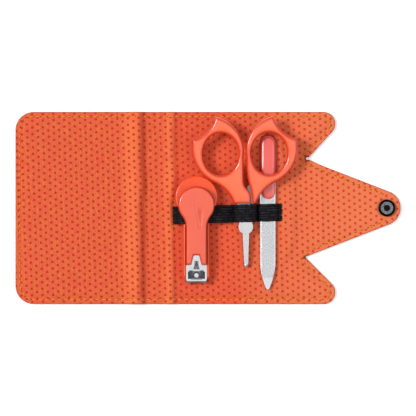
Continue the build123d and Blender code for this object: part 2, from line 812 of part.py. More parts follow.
def clipper_pin(jaw_low, bar_y, bar_z):
    """The turning pin: foot, shaft, and a head over the notch that holds the lever's cross bar."""
    notch = bar_radius + running_clearance
    head_low = bar_z + notch
    pin = disc(0, pin_y, pin_radius, jaw_low, head_low)
    pin += disc(0, pin_y, pin_foot_radius, jaw_low - pin_foot_thickness, jaw_low)
    head = disc(0, pin_y, pin_head_radius, head_low, head_low + pin_head_thickness)
    pin += chamfer(head.edges().group_by(Axis.Z)[-1], pin_head_edge)
    slot_length = 2 * pin_foot_radius
    pin -= Pos(0, bar_y - slot_length / 2, bar_z) * Box(slot_length, slot_length, 2 * notch)
    return pin - Pos(0, bar_y, bar_z) * Rot(0, 90, 0) * Cylinder(notch, slot_length)


def clipper_lever(bar_y, bar_z):
    """A steel plate with a window for the pin's head, ending in two rails joined by the cross bar."""
    half = lever_plate_width / 2
    window_half = pin_head_radius + lever_window_clearance
    rail_out = window_half + lever_rail_width
    window_end = pin_y + lever_window_length
    shoulder = window_end - lever_shoulder
    rear = lever_head_y + lever_in_head
    plate = polygon(
        (-half, shoulder), (-rail_out, bar_y), (rail_out, bar_y), (half, shoulder), (half, rear), (-half, rear)
    )
    window = box_face(-window_half, window_half, bar_y - bar_radius, window_end)
    top = bar_z + lever_thickness / 2
    lever = slab(plate - window, bar_z - lever_thickness / 2, top)
    dimple_low = pin_y + lever_dimple_start
    dimple_high = dimple_low + lever_dimple_length
    dimple = polygon((dimple_low, top), (dimple_high, top), (dimple_high, top - lever_dimple_depth))
    lever -= extrude(Plane.YZ * dimple, lever_dimple_width / 2, both=True)
    return lever + Pos(0, bar_y, bar_z) * Rot(0, 90, 0) * Cylinder(bar_radius, 2 * rail_out)


def lever_cover(low):
    """The moulded cover over the lever, with a tapered notch at its front end."""
    face = handle_outline(
        lever_cover_width, lever_cover_end_y, lever_head_y, lever_head_radius, lever_neck_radius
    )
    notch_end = lever_cover_end_y + cover_notch_length
    face -= polygon(
        (-cover_notch_wide / 2, lever_cover_end_y),
        (cover_notch_wide / 2, lever_cover_end_y),
        (cover_notch_narrow / 2, notch_end),
        (-cover_notch_narrow / 2, notch_end),
    )
    top = low + lever_cover_thickness
    cover = slab(face, low, top)
    cover = chamfer(cover.faces().sort_by(Axis.Z)[-1].edges(), lever_cover_edge)
    return cover - thumb_facet(top)


def thumb_facet(top):
    """A shallow three-sided pyramid, point down, with its point near its long left edge."""
    corners = [
        Vector(thumb_facet_top_x, thumb_facet_top_y, top),
        Vector(thumb_facet_side_x, thumb_facet_side_y, top),
        Vector(thumb_facet_low_x, thumb_facet_low_y, top),
    ]
    deepest = Vector(thumb_facet_deepest_x, thumb_facet_deepest_y, top - thumb_facet_depth)
    edges = zip(corners, corners[1:] + corners[:1])
    sides = [make_face(Polyline(a, b, deepest, close=True)) for a, b in edges]
    return Solid(Shell([make_face(Polyline(*corners, close=True)), *sides]))


def clipper():
    lower_jaw, upper_jaw, low, parting, jaw_top = clipper_jaws()
    bar_z = jaw_top + lever_over_jaw + lever_thickness / 2
    bar_y = pin_y - bar_offset
    rivet_top = parting + jaw_thickness + rivet_head_gap
    rivet = disc(0, jaw_hinge_y, rivet_radius, ground, rivet_top)
    rivet += disc(0, jaw_hinge_y, rivet_head_radius, rivet_top, rivet_top + rivet_head_thickness)
    lever = clipper_lever(bar_y, bar_z)
    cover = lever_cover(bar_z - lever_thickness / 2) - lever
    # the lever and its cover are drawn level, and then tipped up a little about the bar
    tip_up = Pos(0, bar_y, bar_z) * Rot(lever_rise, 0, 0) * Pos(0, -bar_y, -bar_z)
    pieces = {
        "clipper_housing": clipper_base(),
        "clipper_lower_jaw": lower_jaw,
        "clipper_upper_jaw": upper_jaw,
        "clipper_pin": clipper_pin(low, bar_y, bar_z),
        "clipper_rivet": rivet,
        "clipper_lever": tip_up * lever,
        "lever_cover": tip_up * cover,
    }
    return {name: Pos(clipper_x, 0, 0) * piece for name, piece in pieces.items()}


# ---------------------------------------------------------------- all of it
def manicure_case():
    nodes = {}
    for make in (front_cover, spine, back_panel, gusset, flap, snap_fastener, nail_file, scissors, clipper):
        nodes.update(make())
    nodes["elastic_band"] = elastic_band()
    return nodes


os.makedirs("parts", exist_ok=True)
for name, shape in manicure_case().items():
    export_step(shape, f"parts/{name}.step")
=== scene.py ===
import json
import math
import random
from functools import partialmethod

import bpy
import numpy as np
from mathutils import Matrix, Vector
from mathutils.geometry import delaunay_2d_cdt


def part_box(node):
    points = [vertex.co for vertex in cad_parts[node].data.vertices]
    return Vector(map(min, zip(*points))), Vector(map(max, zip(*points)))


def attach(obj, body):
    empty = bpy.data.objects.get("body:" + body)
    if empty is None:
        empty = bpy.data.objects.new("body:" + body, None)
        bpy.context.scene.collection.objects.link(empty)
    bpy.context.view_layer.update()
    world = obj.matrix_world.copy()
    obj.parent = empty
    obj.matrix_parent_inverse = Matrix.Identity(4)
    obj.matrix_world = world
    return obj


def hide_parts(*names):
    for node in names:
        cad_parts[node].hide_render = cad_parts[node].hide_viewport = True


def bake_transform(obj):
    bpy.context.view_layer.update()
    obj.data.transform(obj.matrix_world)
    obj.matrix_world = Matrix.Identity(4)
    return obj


# Looks of the manicure set case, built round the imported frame. Lengths in the code below are
# millimetres in the frame's axes; meshes, materials and lights take metres.
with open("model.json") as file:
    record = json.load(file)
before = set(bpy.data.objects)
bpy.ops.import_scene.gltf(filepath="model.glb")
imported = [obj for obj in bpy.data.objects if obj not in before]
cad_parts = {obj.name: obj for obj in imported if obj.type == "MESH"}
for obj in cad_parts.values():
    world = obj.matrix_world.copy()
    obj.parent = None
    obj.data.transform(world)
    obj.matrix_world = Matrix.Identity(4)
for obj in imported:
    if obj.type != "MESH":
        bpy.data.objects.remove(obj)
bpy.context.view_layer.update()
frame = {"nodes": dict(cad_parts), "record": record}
nodes = frame["nodes"]
MM = 0.001


# ---------------- places read from the frame
def box_mm(node):
    low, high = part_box(node)
    return low / MM, high / MM


def middle_mm(node):
    """The middle of a node's box, seen from above."""
    low, high = box_mm(node)
    return (low.x + high.x) / 2, (low.y + high.y) / 2


x_free_edge = box_mm("front_skin")[0].x
x_cover_fold = (box_mm("front_skin")[1].x + box_mm("spine_skin")[0].x) / 2
x_spine_fold = (box_mm("spine_skin")[1].x + box_mm("back_skin")[0].x) / 2
x_gusset_fold = box_mm("gusset_skin")[0].x
x_flap_fold = (box_mm("gusset_skin")[1].x + box_mm("flap_skin")[0].x) / 2
half_width = box_mm("back_skin")[1].y
skin_bottom = box_mm("back_skin")[0].z
skin_top = box_mm("back_skin")[1].z
lining_top = box_mm("back_lining")[1].z
x_spine_middle = (x_cover_fold + x_spine_fold) / 2
x_gusset_middle = (x_gusset_fold + x_flap_fold) / 2
x_back_split = 20.0  # the back panel's cloth is parted here, under the tools
x_strip_start = x_gusset_fold - 4.0  # the closing strip's cloth is parted from the panel's here


# ---------------- camera, light, floor
FRAME_WIDTH = 249.6  # what the photograph takes in at the height of the lining
CAMERA_DISTANCE = 1600.0
SENSOR_WIDTH = 36.0
FLOOR_LEVEL = -0.1  # just under the snap's cap and stud, which touch the table
FLOOR_REACH = 3000.0


def put(name, data):
    """A new object in the scene."""
    made = bpy.data.objects.new(name, data)
    bpy.context.scene.collection.objects.link(made)
    return made


def make_camera():
    data = bpy.data.cameras.new("camera")
    data.sensor_width = SENSOR_WIDTH
    data.lens = SENSOR_WIDTH * CAMERA_DISTANCE / FRAME_WIDTH
    data.clip_start, data.clip_end = 0.05, 10.0
    camera = put("camera", data)
    camera.location = (0, 0, (CAMERA_DISTANCE + lining_top) * MM)
    bpy.context.scene.camera = camera


def area_light(name, place, target, size, power, colour=(1, 1, 1)):
    data = bpy.data.lights.new(name, "AREA")
    data.shape, data.size, data.energy, data.color = "DISK", size, power, colour
    light = put(name, data)
    light.location = place
    light.rotation_mode = "QUATERNION"
    light.rotation_quaternion = (Vector(target) - Vector(place)).to_track_quat("-Z", "Y")


def make_lights():
    area_light("key", (-1.75, 0.45, 2.05), (0, 0, 0), 0.95, 58.0, (1.0, 0.985, 0.96))
    area_light("fill", (0.7, -0.15, 0.9), (0.05, 0, 0), 1.0, 3.6)
    area_light("above", (0.05, 0.1, 2.2), (0, 0, 0), 1.3, 2.6)
    make_sky()
    bpy.context.scene.view_settings.view_transform = "Standard"


def make_sky():
    """A grey room: bright overhead and darker towards the walls."""
    world = bpy.data.worlds.new("studio")
    sky = Nodes(world, "Background")
    _, _, height = sky.node("ShaderNodeTexCoord", output="Generated").split()
    sky["Strength"] = height.ramp(0.1, 0.95, 0.12, 0.50)
    sky["Color"] = (1.0, 1.0, 1.0, 1)
    bpy.context.scene.world = world


def make_floor():
    look = Look("floor", 0.7)
    look["Base Color"] = look.place().noise(3.0).mix((0.94, 0.94, 0.94), (0.96, 0.96, 0.96))
    look["Emission Color"] = (1, 1, 1, 1)
    look["Emission Strength"] = 0.22
    far = FLOOR_REACH
    corners = [(x, y, FLOOR_LEVEL) for x, y in ((-far, -far), (far, -far), (far, far), (-far, far))]
    link("floor", corners, [(0, 1, 2, 3)], look.material)


# ---------------- materials
class Value:
    """What a material works out at each point. Each step of its arithmetic is a node."""

    def __init__(self, look, socket):
        self.look, self.socket = look, socket

    def math(self, operation, *others):
        return self.look.node("ShaderNodeMath", enumerate((self, *others)), operation=operation)

    __add__ = partialmethod(math, "ADD")
    __sub__ = partialmethod(math, "SUBTRACT")
    __mul__ = partialmethod(math, "MULTIPLY")
    __truediv__ = partialmethod(math, "DIVIDE")
    __abs__ = partialmethod(math, "ABSOLUTE")

    def waves(self, length):
        """A sine of that length in mm, from -1 to 1."""
        return (self * (2 * math.pi / (length * MM))).math("SINE")

    def ramp(self, low, high, start=0.0, end=1.0):
        """The value from low..high mapped smoothly to start..end."""
        inputs = enumerate((self, low, high, start, end))
        return self.look.node("ShaderNodeMapRange", inputs, interpolation_type="SMOOTHSTEP")

    def mix(self, a, b):
        """Colour a where the value is 0 and colour b where it is 1."""
        a, b = (colour if isinstance(colour, Value) else (*colour, 1) for colour in (a, b))
        return self.look.node("ShaderNodeMix", {0: self, 6: a, 7: b}, 2, data_type="RGBA")

    def split(self):
        """X, Y and Z of a place."""
        first = self.look.node("ShaderNodeSeparateXYZ", {"Vector": self})
        return [Value(self.look, output) for output in first.socket.node.outputs]

    def stretched(self, share):
        """The place with its Y shortened, which draws a pattern out along Y."""
        return self.look.node("ShaderNodeMapping", {"Vector": self, "Scale": (1.0, share, 1.0)})

    def noise(self, scale, detail=3.0):
        inputs = {"Vector": self, "Scale": scale, "Detail": detail, "Roughness": 0.55}
        return self.look.node("ShaderNodeTexNoise", inputs, "Fac")

    def wander(self, scale, width, detail=3.0):
        """Noise round zero, width from its lowest to its highest."""
        return (self.noise(scale, detail) - 0.5) * width


def distance(across, along):
    return (across.math("POWER", 2.0) + along.math("POWER", 2.0)).math("SQRT")


class Nodes:
    """The shading nodes of a material or the world, which end in one shader."""

    def __init__(self, owner, shader):
        owner.use_nodes = True
        self.tree = owner.node_tree
        self.shader = self.tree.nodes[shader]

    def __setitem__(self, socket, value):
        """Sets one of the shader's own sockets, or joins a worked-out value to it."""
        self.join(self.shader.inputs[socket], value)

    def join(self, socket, value):
        if isinstance(value, Value):
            self.tree.links.new(value.socket, socket)
        else:
            socket.default_value = value

    def node(self, kind, inputs=(), output=0, **settings):
        """Adds a node and gives back one of its outputs."""
        made = self.tree.nodes.new(kind)
        for key, value in settings.items():
            setattr(made, key, value)
        for key, value in dict(inputs).items():
            self.join(made.inputs[key], value)
        return Value(self, made.outputs[output])


class Look(Nodes):
    """A procedural material."""

    def __init__(self, name, roughness, metallic=0.0):
        self.material = bpy.data.materials.new(name)
        super().__init__(self.material, "Principled BSDF")
        self["Metallic"] = metallic
        self["Roughness"] = roughness

    def place(self):
        """Where a point of the surface is at rest, in metres, in the frame's axes."""
        return self.node("ShaderNodeTexCoord", output="Object")

    def kept(self, name, output="Fac"):
        """What a mesh keeps on its vertices under a name."""
        return self.node("ShaderNodeAttribute", output=output, attribute_name=name)

    def kept_place(self):
        """The place at rest for the cloth's meshes, kept on their vertices."""
        return self.kept("rest", "Vector")

    def bump(self, height, distance, strength):
        inputs = {"Height": height, "Distance": distance * MM, "Strength": strength}
        self["Normal"] = self.node("ShaderNodeBump", inputs)


DOT_COLUMNS, DOT_ROWS, DOT_RADIUS = 3.2 * MM, 3.95 * MM, 0.80 * MM
DOT_BLUR = 0.16 * MM
DOT_SLANT = math.radians(-1.7)


def dots(place):
    """1 inside the printed dots, which lie in staggered columns, and 0 between them."""
    inputs = {"Vector": place, "Angle": DOT_SLANT}
    x, y, _ = place.look.node("ShaderNodeVectorRotate", inputs, rotation_type="Z_AXIS").split()
    wander = place.wander(60.0, 1.1 * MM)
    column = (x + wander) / DOT_COLUMNS
    odd = abs(column.math("FLOOR")).math("MODULO", 2.0)
    row = (y + wander) / DOT_ROWS + odd * 0.5
    across = (column.math("FRACT") - 0.5) * DOT_COLUMNS
    along = (row.math("FRACT") - 0.5) * DOT_ROWS
    reach = distance(across, along) + place.wander(2500.0, 0.5 * MM)
    return reach.ramp(DOT_RADIUS + DOT_BLUR, DOT_RADIUS - DOT_BLUR)


# painted tones along X, in mm: where one begins, is full, starts to fade and ends, and its share; painted
# light on the fold crests, painted shade in the creases and round the tools
PAINTED_LIGHT_CRESTS = ((-54.5, -47.0, -43.5, -40.8, 0.30), (-27.5, -23.5, -22.0, -20.2, 0.30))
PAINTED_TOOL_SHADE = ((-23.0, -15.0, 14.0, 34.0, 0.32),)
PAINTED_SHADE_CREASES = ((-41.2, -39.4, -38.2, -35.8, 0.22), (-20.6, -19.2, -18.0, -14.0, 0.16))
TONE_WANDER = 5.0 * MM


def tone_along_folds(x, stretches):
    total = 0.0
    for begin, full, fading, end, share in stretches:
        rise = x.ramp(begin * MM, full * MM, 0.0, share)
        total = rise * x.ramp(fading * MM, end * MM, 1.0, 0.0) + total
    return total


def dark_notch_tips(place):
    """1 on the darker cloth round the tips of the two notches."""
    x, y, _ = place.split()
    notch_marks = []
    for tip_x, tip_y, radius in ((eyelet_x, eyelet_y, EYELET_RADIUS), (*notch_low, 0.3)):
        reach = distance(x - float(tip_x * MM), y - float(tip_y * MM))
        notch_marks.append(reach.ramp((radius + 0.5) * MM, (radius + 1.3) * MM, 0.9, 0.0))
    return notch_marks[0].math("MAXIMUM", notch_marks[1])


def lining_material():
    """Printed cloth: uneven orange threads with greenish ones among them, soft red dots, painted light on
    the fold crests and towards the flap, and painted shade in the creases and round the tools.
    """
    look = Look("dotted_cloth", 0.8)
    place = look.kept_place()
    x, y, _ = place.split()
    weave = x.waves(0.68) * y.waves(0.68) * 0.5 + 0.5
    streaks = place.stretched(0.14).noise(1500.0)
    base = place.noise(38.0).mix((0.67, 0.082, 0.036), (0.73, 0.103, 0.045))
    base = streaks.ramp(0.44, 0.62, 0.0, 0.85).mix(base, (0.70, 0.162, 0.043))
    base = place.noise(1900.0, 1.0).ramp(0.48, 0.66, 0.0, 0.55).mix(base, (0.49, 0.070, 0.024))
    # painted light: the cloth turns paler towards the closing strip and flap
    painted_light_tone = place.noise(1600.0).mix((0.74, 0.165, 0.068), (0.80, 0.215, 0.085))
    base = x.ramp(-0.01, 0.10, 0.0, 0.85).mix(base, painted_light_tone)
    bent_x = x + place.wander(75.0, TONE_WANDER, 2.0)
    # painted shade: a redder, darker band where the tools shade the cloth
    base = tone_along_folds(bent_x, PAINTED_TOOL_SHADE).mix(base, (0.70, 0.052, 0.022))
    # painted light: the fold crests that face the key light are made paler
    base = tone_along_folds(bent_x, PAINTED_LIGHT_CRESTS).mix(base, (0.86, 0.235, 0.070))
    # painted shade: the creases that turn away from the light are made darker
    base = tone_along_folds(bent_x, PAINTED_SHADE_CREASES).mix(base, (0.40, 0.022, 0.010))
    printed = place.noise(900.0).mix((0.48, 0.014, 0.004), (0.57, 0.023, 0.007))
    # painted light: the dots turn paler towards the flap too
    printed = x.ramp(-0.01, 0.10, 0.0, 0.75).mix(printed, (0.66, 0.036, 0.012))
    cloth = (dots(place) * 0.96).mix(base, printed)
    look["Base Color"] = dark_notch_tips(place).mix(cloth, (0.10, 0.016, 0.008))
    look["Roughness"] = streaks.ramp(0.3, 0.7, 0.72, 0.88)
    look["Specular IOR Level"] = 0.25
    look.bump(weave + place.noise(700.0, 4.0) * 1.6, 0.07, 0.7)
    return look.material


def leather_material():
    look = Look("grained_cover", 0.5)
    place = look.kept_place()
    inputs = {"Vector": place, "Scale": 1500.0}
    cells = look.node("ShaderNodeTexVoronoi", inputs, feature="DISTANCE_TO_EDGE")
    grain = cells.ramp(0.0, 0.28)
    valleys = (grain * -1.0 + 1.0) * 0.45
    tone = place.noise(45.0).mix((0.70, 0.120, 0.035), (0.80, 0.165, 0.055))
    look["Base Color"] = valleys.mix(tone, (0.42, 0.055, 0.018))
    look["Roughness"] = grain.ramp(0.0, 1.0, 0.62, 0.42)
    look.bump(grain + place.noise(260.0) * 0.8, 0.06, 0.7)
    return look.material


def edge_material():
    look = Look("painted_edge", 0.6)
    place = look.kept_place()
    look["Base Color"] = place.noise(600.0).mix((0.20, 0.022, 0.010), (0.34, 0.045, 0.018))
    look.bump(place.noise(1800.0), 0.06, 0.6)
    return look.material


def thread_material():
    look = Look("seam_thread", 0.55)
    place = look.kept_place()
    x, y, _ = place.split()
    twist = (x + y).waves(0.42)
    tone = place.noise(500.0).mix((0.84, 0.25, 0.010), (0.93, 0.36, 0.026))
    look["Base Color"] = twist.ramp(-1.0, 0.2, 0.35, 0.0).mix(tone, (0.50, 0.09, 0.008))
    look["Specular IOR Level"] = 0.2
    look.bump(twist, 0.06, 0.8)
    return look.material


def hole_material():
    """Painted shade inside the needle holes: dark at the cover's free edge and along the closing strip, and
    nearly closed between them.
    """
    look = Look("needle_hole", 0.9)
    place = look.kept_place()
    x, _, _ = place.split()
    dark = place.noise(900.0).mix((0.008, 0.006, 0.005), (0.024, 0.016, 0.010))
    closed = x.ramp(-0.108, -0.098) * x.ramp(0.066, 0.074, 0.7, 0.0)
    look["Base Color"] = closed.mix(dark, (0.26, 0.075, 0.025))
    return look.material


def elastic_material():
    """Black ribbed elastic, whose rib crests are painted lighter grey here and there as a painted
    highlight.
    """
    look = Look("ribbed_elastic", 0.72)
    place = look.place()
    knit = place.split()[0].waves(0.62)
    fuzz = place.noise(1900.0, 4.0)
    light = fuzz * knit.ramp(-1.0, 1.0, 0.4, 1.0)
    yarn = light.mix((0.001, 0.001, 0.002), (0.007, 0.006, 0.009))
    # painted highlight: lighter grey on the rib crests, in patches
    crest = look.kept("rib").ramp(0.55, 1.0) * place.noise(520.0).ramp(0.42, 0.60)
    look["Base Color"] = (crest * 0.7).mix(yarn, (0.032, 0.030, 0.037))
    look["Specular IOR Level"] = 0.14
    look.bump(knit * 0.5 + fuzz * 1.5, 0.05, 0.8)
    return look.material


def moulded_material(name, rim, dark, light, roughness, coat):
    """Injection-moulded plastic: a fine satin skin, a faint flow, and a deeper colour along its rims, which
    is painted shade.
    """
    look = Look(name, roughness)
    place = look.place()
    body = place.noise(55.0, 2.0).mix(dark, light)
    skin = place.noise(1300.0, 2.0)
    # painted shade: the rim colour where the mesh keeps a high rim value, along rims, hollows and pressed
    # marks
    look["Base Color"] = look.kept("rim").ramp(0.22, 0.85, 0.0, 0.95).mix(body, rim)
    look["Roughness"] = skin.ramp(0.3, 0.7, roughness - 0.05, roughness + 0.08)
    look["Subsurface Weight"] = 0.12
    look["Subsurface Radius"] = (0.0025, 0.0008, 0.0004)
    look["Subsurface Scale"] = 1.0
    look["Coat Weight"] = coat
    look["Coat Roughness"] = 0.06
    look.bump(skin + place.noise(210.0, 2.0) * 4.0, 0.012, 0.5)
    return look.material


# the dark tone painted on steel as shade
PAINTED_SHADE_STEEL = (0.075, 0.080, 0.088)


def steel_material(name, tone, roughness, grain=0.0, swell_height=0.0, shading=None):
    """Steel with fine brush lines along Y, a mottle from handling, and the slow waves of a polish.

    shading, where given, makes a value that is 1 where the steel is painted dark as shade."""
    look = Look(name, roughness, metallic=1.0)
    place = look.place()
    lines = place.stretched(0.06).noise(5200.0, 2.0)
    steel = place.noise(160.0).mix(tuple(v * 0.80 for v in tone), tone)
    look["Base Color"] = shading(place).mix(steel, PAINTED_SHADE_STEEL) if shading else steel
    look["Roughness"] = lines.ramp(0.25, 0.75, roughness - 0.06, roughness + 0.10)
    look.bump(lines * (0.01 + grain) + place.noise(420.0, 2.0) * swell_height, 1.0, 0.5)
    return look.material


def from_pin(place):
    """How far a point lies from the clipper's pin, along X and Y."""
    x, y, _ = place.split()
    pin_x, pin_y = middle_mm("clipper_pin")
    return x - pin_x * MM, y - pin_y * MM


WEDGE_LOW, WEDGE_HIGH = 3.3 * MM, 8.6 * MM  # the wedge's ends, above the pin's middle
PIN_HEAD_RADIUS = 1.85 * MM


def lever_shade(place):
    """Painted shade: dark rails and bar round the pin, and a dark wedge in the notch of the cover."""
    across, along = from_pin(place)
    in_width = abs(across).math("LESS_THAN", along.ramp(WEDGE_LOW, WEDGE_HIGH, 1.9 * MM, 0.5 * MM))
    in_length = along.math("GREATER_THAN", WEDGE_LOW) * along.math("LESS_THAN", WEDGE_HIGH)
    return along.ramp(2.6 * MM, WEDGE_LOW, 1.0, 0.0).math("MAXIMUM", in_width * in_length * 0.85)


def pin_shade(place):
    """Painted shade: the pin's head stays bright in the middle and is painted dark towards its rim."""
    return distance(*from_pin(place)).ramp(0.50 * PIN_HEAD_RADIUS, 0.85 * PIN_HEAD_RADIUS, 0.0, 0.9)


def jaw_shade(place):
    """The upper jaw is dark in the shade of the pin's head and the lever."""
    across, along = from_pin(place)
    return abs(across).ramp(3.0 * MM, 3.4 * MM, 0.85, 0.0) * abs(along).ramp(2.3 * MM, 2.9 * MM, 1.0, 0.0)


def shank_shade(place):
    """Painted shade: the shanks are painted dark beyond the band, between the handles."""
    band_end = box_mm("elastic_band")[1].y
    return place.split()[1].ramp((band_end - 1.5) * MM, (band_end - 0.2) * MM, 0.0, 0.8)


def speckled(look, part, points, high, colours, roughness, bump):
    """Rough speckled steel where part is 1, and plain steel where it is 0."""
    plain, dark, light = colours
    look["Base Color"] = part.mix(plain, points.ramp(0.36, high).mix(dark, light))
    look["Roughness"] = part.ramp(0.0, 1.0, *roughness)
    look.bump(points * part, *bump)
    return look.material


def grit_material():
    """A file blade's grit, with plain shiny steel along its rims and at its tip."""
    look = Look("file_grit", 0.5, metallic=1.0)
    place = look.place()
    x, y, _ = place.split()
    low, high = box_mm("file_blade")
    reach = (high.x - low.x) / 2 * MM
    across = abs(x - (low.x + high.x) / 2 * MM)
    inner = across.ramp(reach - 0.85 * MM, reach - 0.75 * MM, 1.0, 0.0)
    rough_part = inner * y.ramp((low.y + 7.2) * MM, (low.y + 7.6) * MM)
    colours = ((0.66, 0.67, 0.70), (0.37, 0.38, 0.40), (0.70, 0.71, 0.73))
    return speckled(look, rough_part, place.noise(2200.0, 2.0), 0.64, colours, (0.26, 0.48), (0.10, 0.9))


def socket_material():
    """The snap's socket: a black rim and bore, dark metal darkened further as painted shade, and a grey
    speckled ring between them.
    """
    look = Look("snap_socket_metal", 0.36, metallic=1.0)
    place = look.place()
    x, y, _ = place.split()
    reach = distance(x - x_snap * MM, y)
    ring = reach.ramp(1.85 * MM, 2.05 * MM) * reach.ramp(3.7 * MM, 4.1 * MM, 1.0, 0.0)
    colours = ((0.008, 0.008, 0.010), (0.040, 0.042, 0.048), (0.27, 0.28, 0.30))
    return speckled(look, ring, place.noise(2600.0), 0.62, colours, (0.30, 0.46), (0.05, 0.7))


# ---------------- outlines read from the frame
def points_mm(mesh):
    places = np.empty(3 * len(mesh.vertices))
    mesh.vertices.foreach_get("co", places)
    return places.reshape(-1, 3) / MM


def face_outlines(mesh, keys, chosen):
    """The closed outlines of the faces whose points are all chosen, as arrays of the points' keys."""
    edges = {}
    for face in mesh.polygons:
        if all(chosen[i] for i in face.vertices):
            ring = [keys[i] for i in face.vertices]
            edges.update(dict.fromkeys(zip(ring, ring[1:] + ring[:1])))
    after = {a: b for a, b in edges if (b, a) not in edges}
    loops = []
    while after:
        loop = [next(iter(after))]
        while loop[-1] in after:
            loop.append(after.pop(loop[-1]))
        loops.append(np.array(loop[:-1]))
    return loops


def signed_area(loop):
    x, y = loop.T
    return np.sum(x * np.roll(y, -1) - y * np.roll(x, -1)) / 2


def outer_loop(node):
    """The outline of a flat plate's underside, counter-clockwise, as an array of (x, y)."""
    mesh = nodes[node].data
    points = points_mm(mesh)
    keys = [tuple(np.round(p[:2], 4)) for p in points]
    loops = face_outlines(mesh, keys, points[:, 2] < points[:, 2].min() + 0.01)
    loop = max(loops, key=lambda l: np.ptp(l[:, 0]) + np.ptp(l[:, 1]))
    return loop if signed_area(loop) > 0 else loop[::-1]


def open_chain(loop, start, end):
    """The part of a counter-clockwise loop from the point nearest start to the point nearest end."""
    first = int(np.argmin(np.hypot(*(loop - start).T)))
    turned = np.roll(loop, -first, axis=0)
    last = int(np.argmin(np.hypot(*(turned - end).T)))
    return turned[: last + 1]


def resample(path, step, closed=False, longest=0.0):
    """The same line with points about step apart; its corners stay, and stretches up to longest too."""
    path = np.asarray(path, float)
    out = []
    for a, b in zip(path, np.roll(path, -1, axis=0) if closed else path[1:]):
        length = np.hypot(*(b - a))
        pieces = max(1, int(round(length / step))) if length > longest else 1
        out += [a + (b - a) * k / pieces for k in range(pieces)]
    return np.array(out if closed else [*out, path[-1]])


def joined(*parts):
    """One array of points from arrays of points and single points."""
    return np.vstack([np.atleast_2d(part) for part in parts])


def reach_along(path):
    """How far along a path each of its points lies."""
    return np.concatenate([[0], np.cumsum(np.hypot(*np.diff(path, axis=0).T))])


front_loop, back_loop = outer_loop("front_skin"), outer_loop("back_skin")
gusset_loop, flap_loop = outer_loop("gusset_skin"), outer_loop("flap_skin")
strip_root = gusset_loop[:, 1].max()
notch_floor = back_loop[np.abs(back_loop[:, 1]) < half_width / 1.5, 0].max()
ear_root = back_loop[np.abs(back_loop[:, 0] - notch_floor) < 0.2, 1].max()
front_chain = open_chain(front_loop, (x_cover_fold, half_width), (x_cover_fold, -half_width))
back_low = open_chain(back_loop, (x_spine_fold, -half_width), (x_gusset_fold, -ear_root))
back_high = open_chain(back_loop, (x_gusset_fold, ear_root), (x_spine_fold, half_width))
gusset_low = open_chain(gusset_loop, (x_gusset_fold, -strip_root), (x_flap_fold, -strip_root))
gusset_high = open_chain(gusset_loop, (x_flap_fold, strip_root), (x_gusset_fold, strip_root))
flap_chain = open_chain(flap_loop, (x_flap_fold, -strip_root), (x_flap_fold, strip_root))
notch_low = (x_gusset_fold - 0.3, -(strip_root + ear_root) / 2)

# the upper notch ends in a small round eyelet
EYELET_RADIUS = 0.9
eyelet_x, eyelet_y = x_gusset_fold + EYELET_RADIUS, (strip_root + ear_root) / 2 + 0.1
mouth_x = eyelet_x + 0.75


def arc(start, end, count):
    turns = np.radians(np.linspace(start, end, count))
    x, y = eyelet_x + EYELET_RADIUS * np.cos(turns), eyelet_y + EYELET_RADIUS * np.sin(turns)
    return np.column_stack([x, y])


gusset_high = joined(gusset_high[gusset_high[:, 0] > mouth_x], arc(-42, -180, 9))
back_high = joined(arc(-180, -318, 9), back_high[back_high[:, 0] > mouth_x + 0.2])
case_loop = joined(front_chain, back_low, notch_low, gusset_low, flap_chain, gusset_high, back_high[1:])
case_outline = resample(case_loop, 0.7, closed=True)
outline_ahead = np.roll(case_outline, -1, axis=0) - np.roll(case_outline, 1, axis=0)
inward = np.stack([-outline_ahead[:, 1], outline_ahead[:, 0]], 1) / np.hypot(*outline_ahead.T)[:, None]
CHUNK = 4000  # points measured at a time


def distance_to(points, *loops):
    """How far each point is from the nearest side of closed loops."""
    starts = np.vstack(loops)
    spans = np.vstack([np.roll(loop, -1, axis=0) for loop in loops]) - starts
    lengths = np.maximum((spans**2).sum(1), 1e-9)
    best = np.empty(len(points))
    for first in range(0, len(points), CHUNK):
        p = points[first : first + CHUNK, None, :]
        t = np.clip(((p - starts) * spans).sum(2) / lengths, 0, 1)
        gap = p - (starts + t[..., None] * spans)
        best[first : first + CHUNK] = np.sqrt((gap**2).sum(2)).min(1)
    return best


def inset(depth, share):
    """The case's outline moved in by depth, without points nearer to the edge than share of it."""
    row = case_outline + inward * depth
    return row[distance_to(row, case_outline) > depth * share]


# ---------------- relief of the cloth
SEAM_DEPTH = 2.75  # the seam lies this far inside the case's edge


def smooth(value, low, high):
    t = np.clip((value - low) / (high - low), 0, 1)
    return t * t * (3 - 2 * t)


def hump(value, middle, width):
    return np.exp(-(((value - middle) / width) ** 2))


def ripple(x, y, seed, wavelength, count=6):
    """A soft random swell, the same every run, from -1 to 1."""
    source = random.Random(seed)
    total = 0.0
    for _ in range(count):
        angle, phase = source.uniform(0, math.pi), source.uniform(0, 2 * math.pi)
        turn = 2 * math.pi / (wavelength * source.uniform(0.7, 1.6))
        total = total + np.sin(turn * (x * math.cos(angle) + y * math.sin(angle)) + phase)
    return total / count


def swell(value, rise_from, rise_to, fall_from, fall_to):
    """0 outside, 1 between its two slopes."""
    return smooth(value, rise_from, rise_to) * (1 - smooth(value, fall_from, fall_to))


def bowed(x, y):
    """x measured from the spine's creases, which wander a little along their length."""
    wander = 1.0 * hump(y, 17.0, 9.0) - 0.5 * hump(y, -22.0, 14.0) + 0.6 * ripple(x * 0, y, 3, 34.0)
    return x - wander * (1 - smooth(x, -18.0, -8.0))


def strip_bend(x, y):
    """x measured from the closing strip's crease, which bends towards the notches."""
    return x + 4.2 * np.clip(np.abs(y) / strip_root, 0, 1.2) ** 5


FOLD_CREST, SPINE_CREST, CREASE = 2.5, 1.15, 0.36  # heights of the cloth's relief


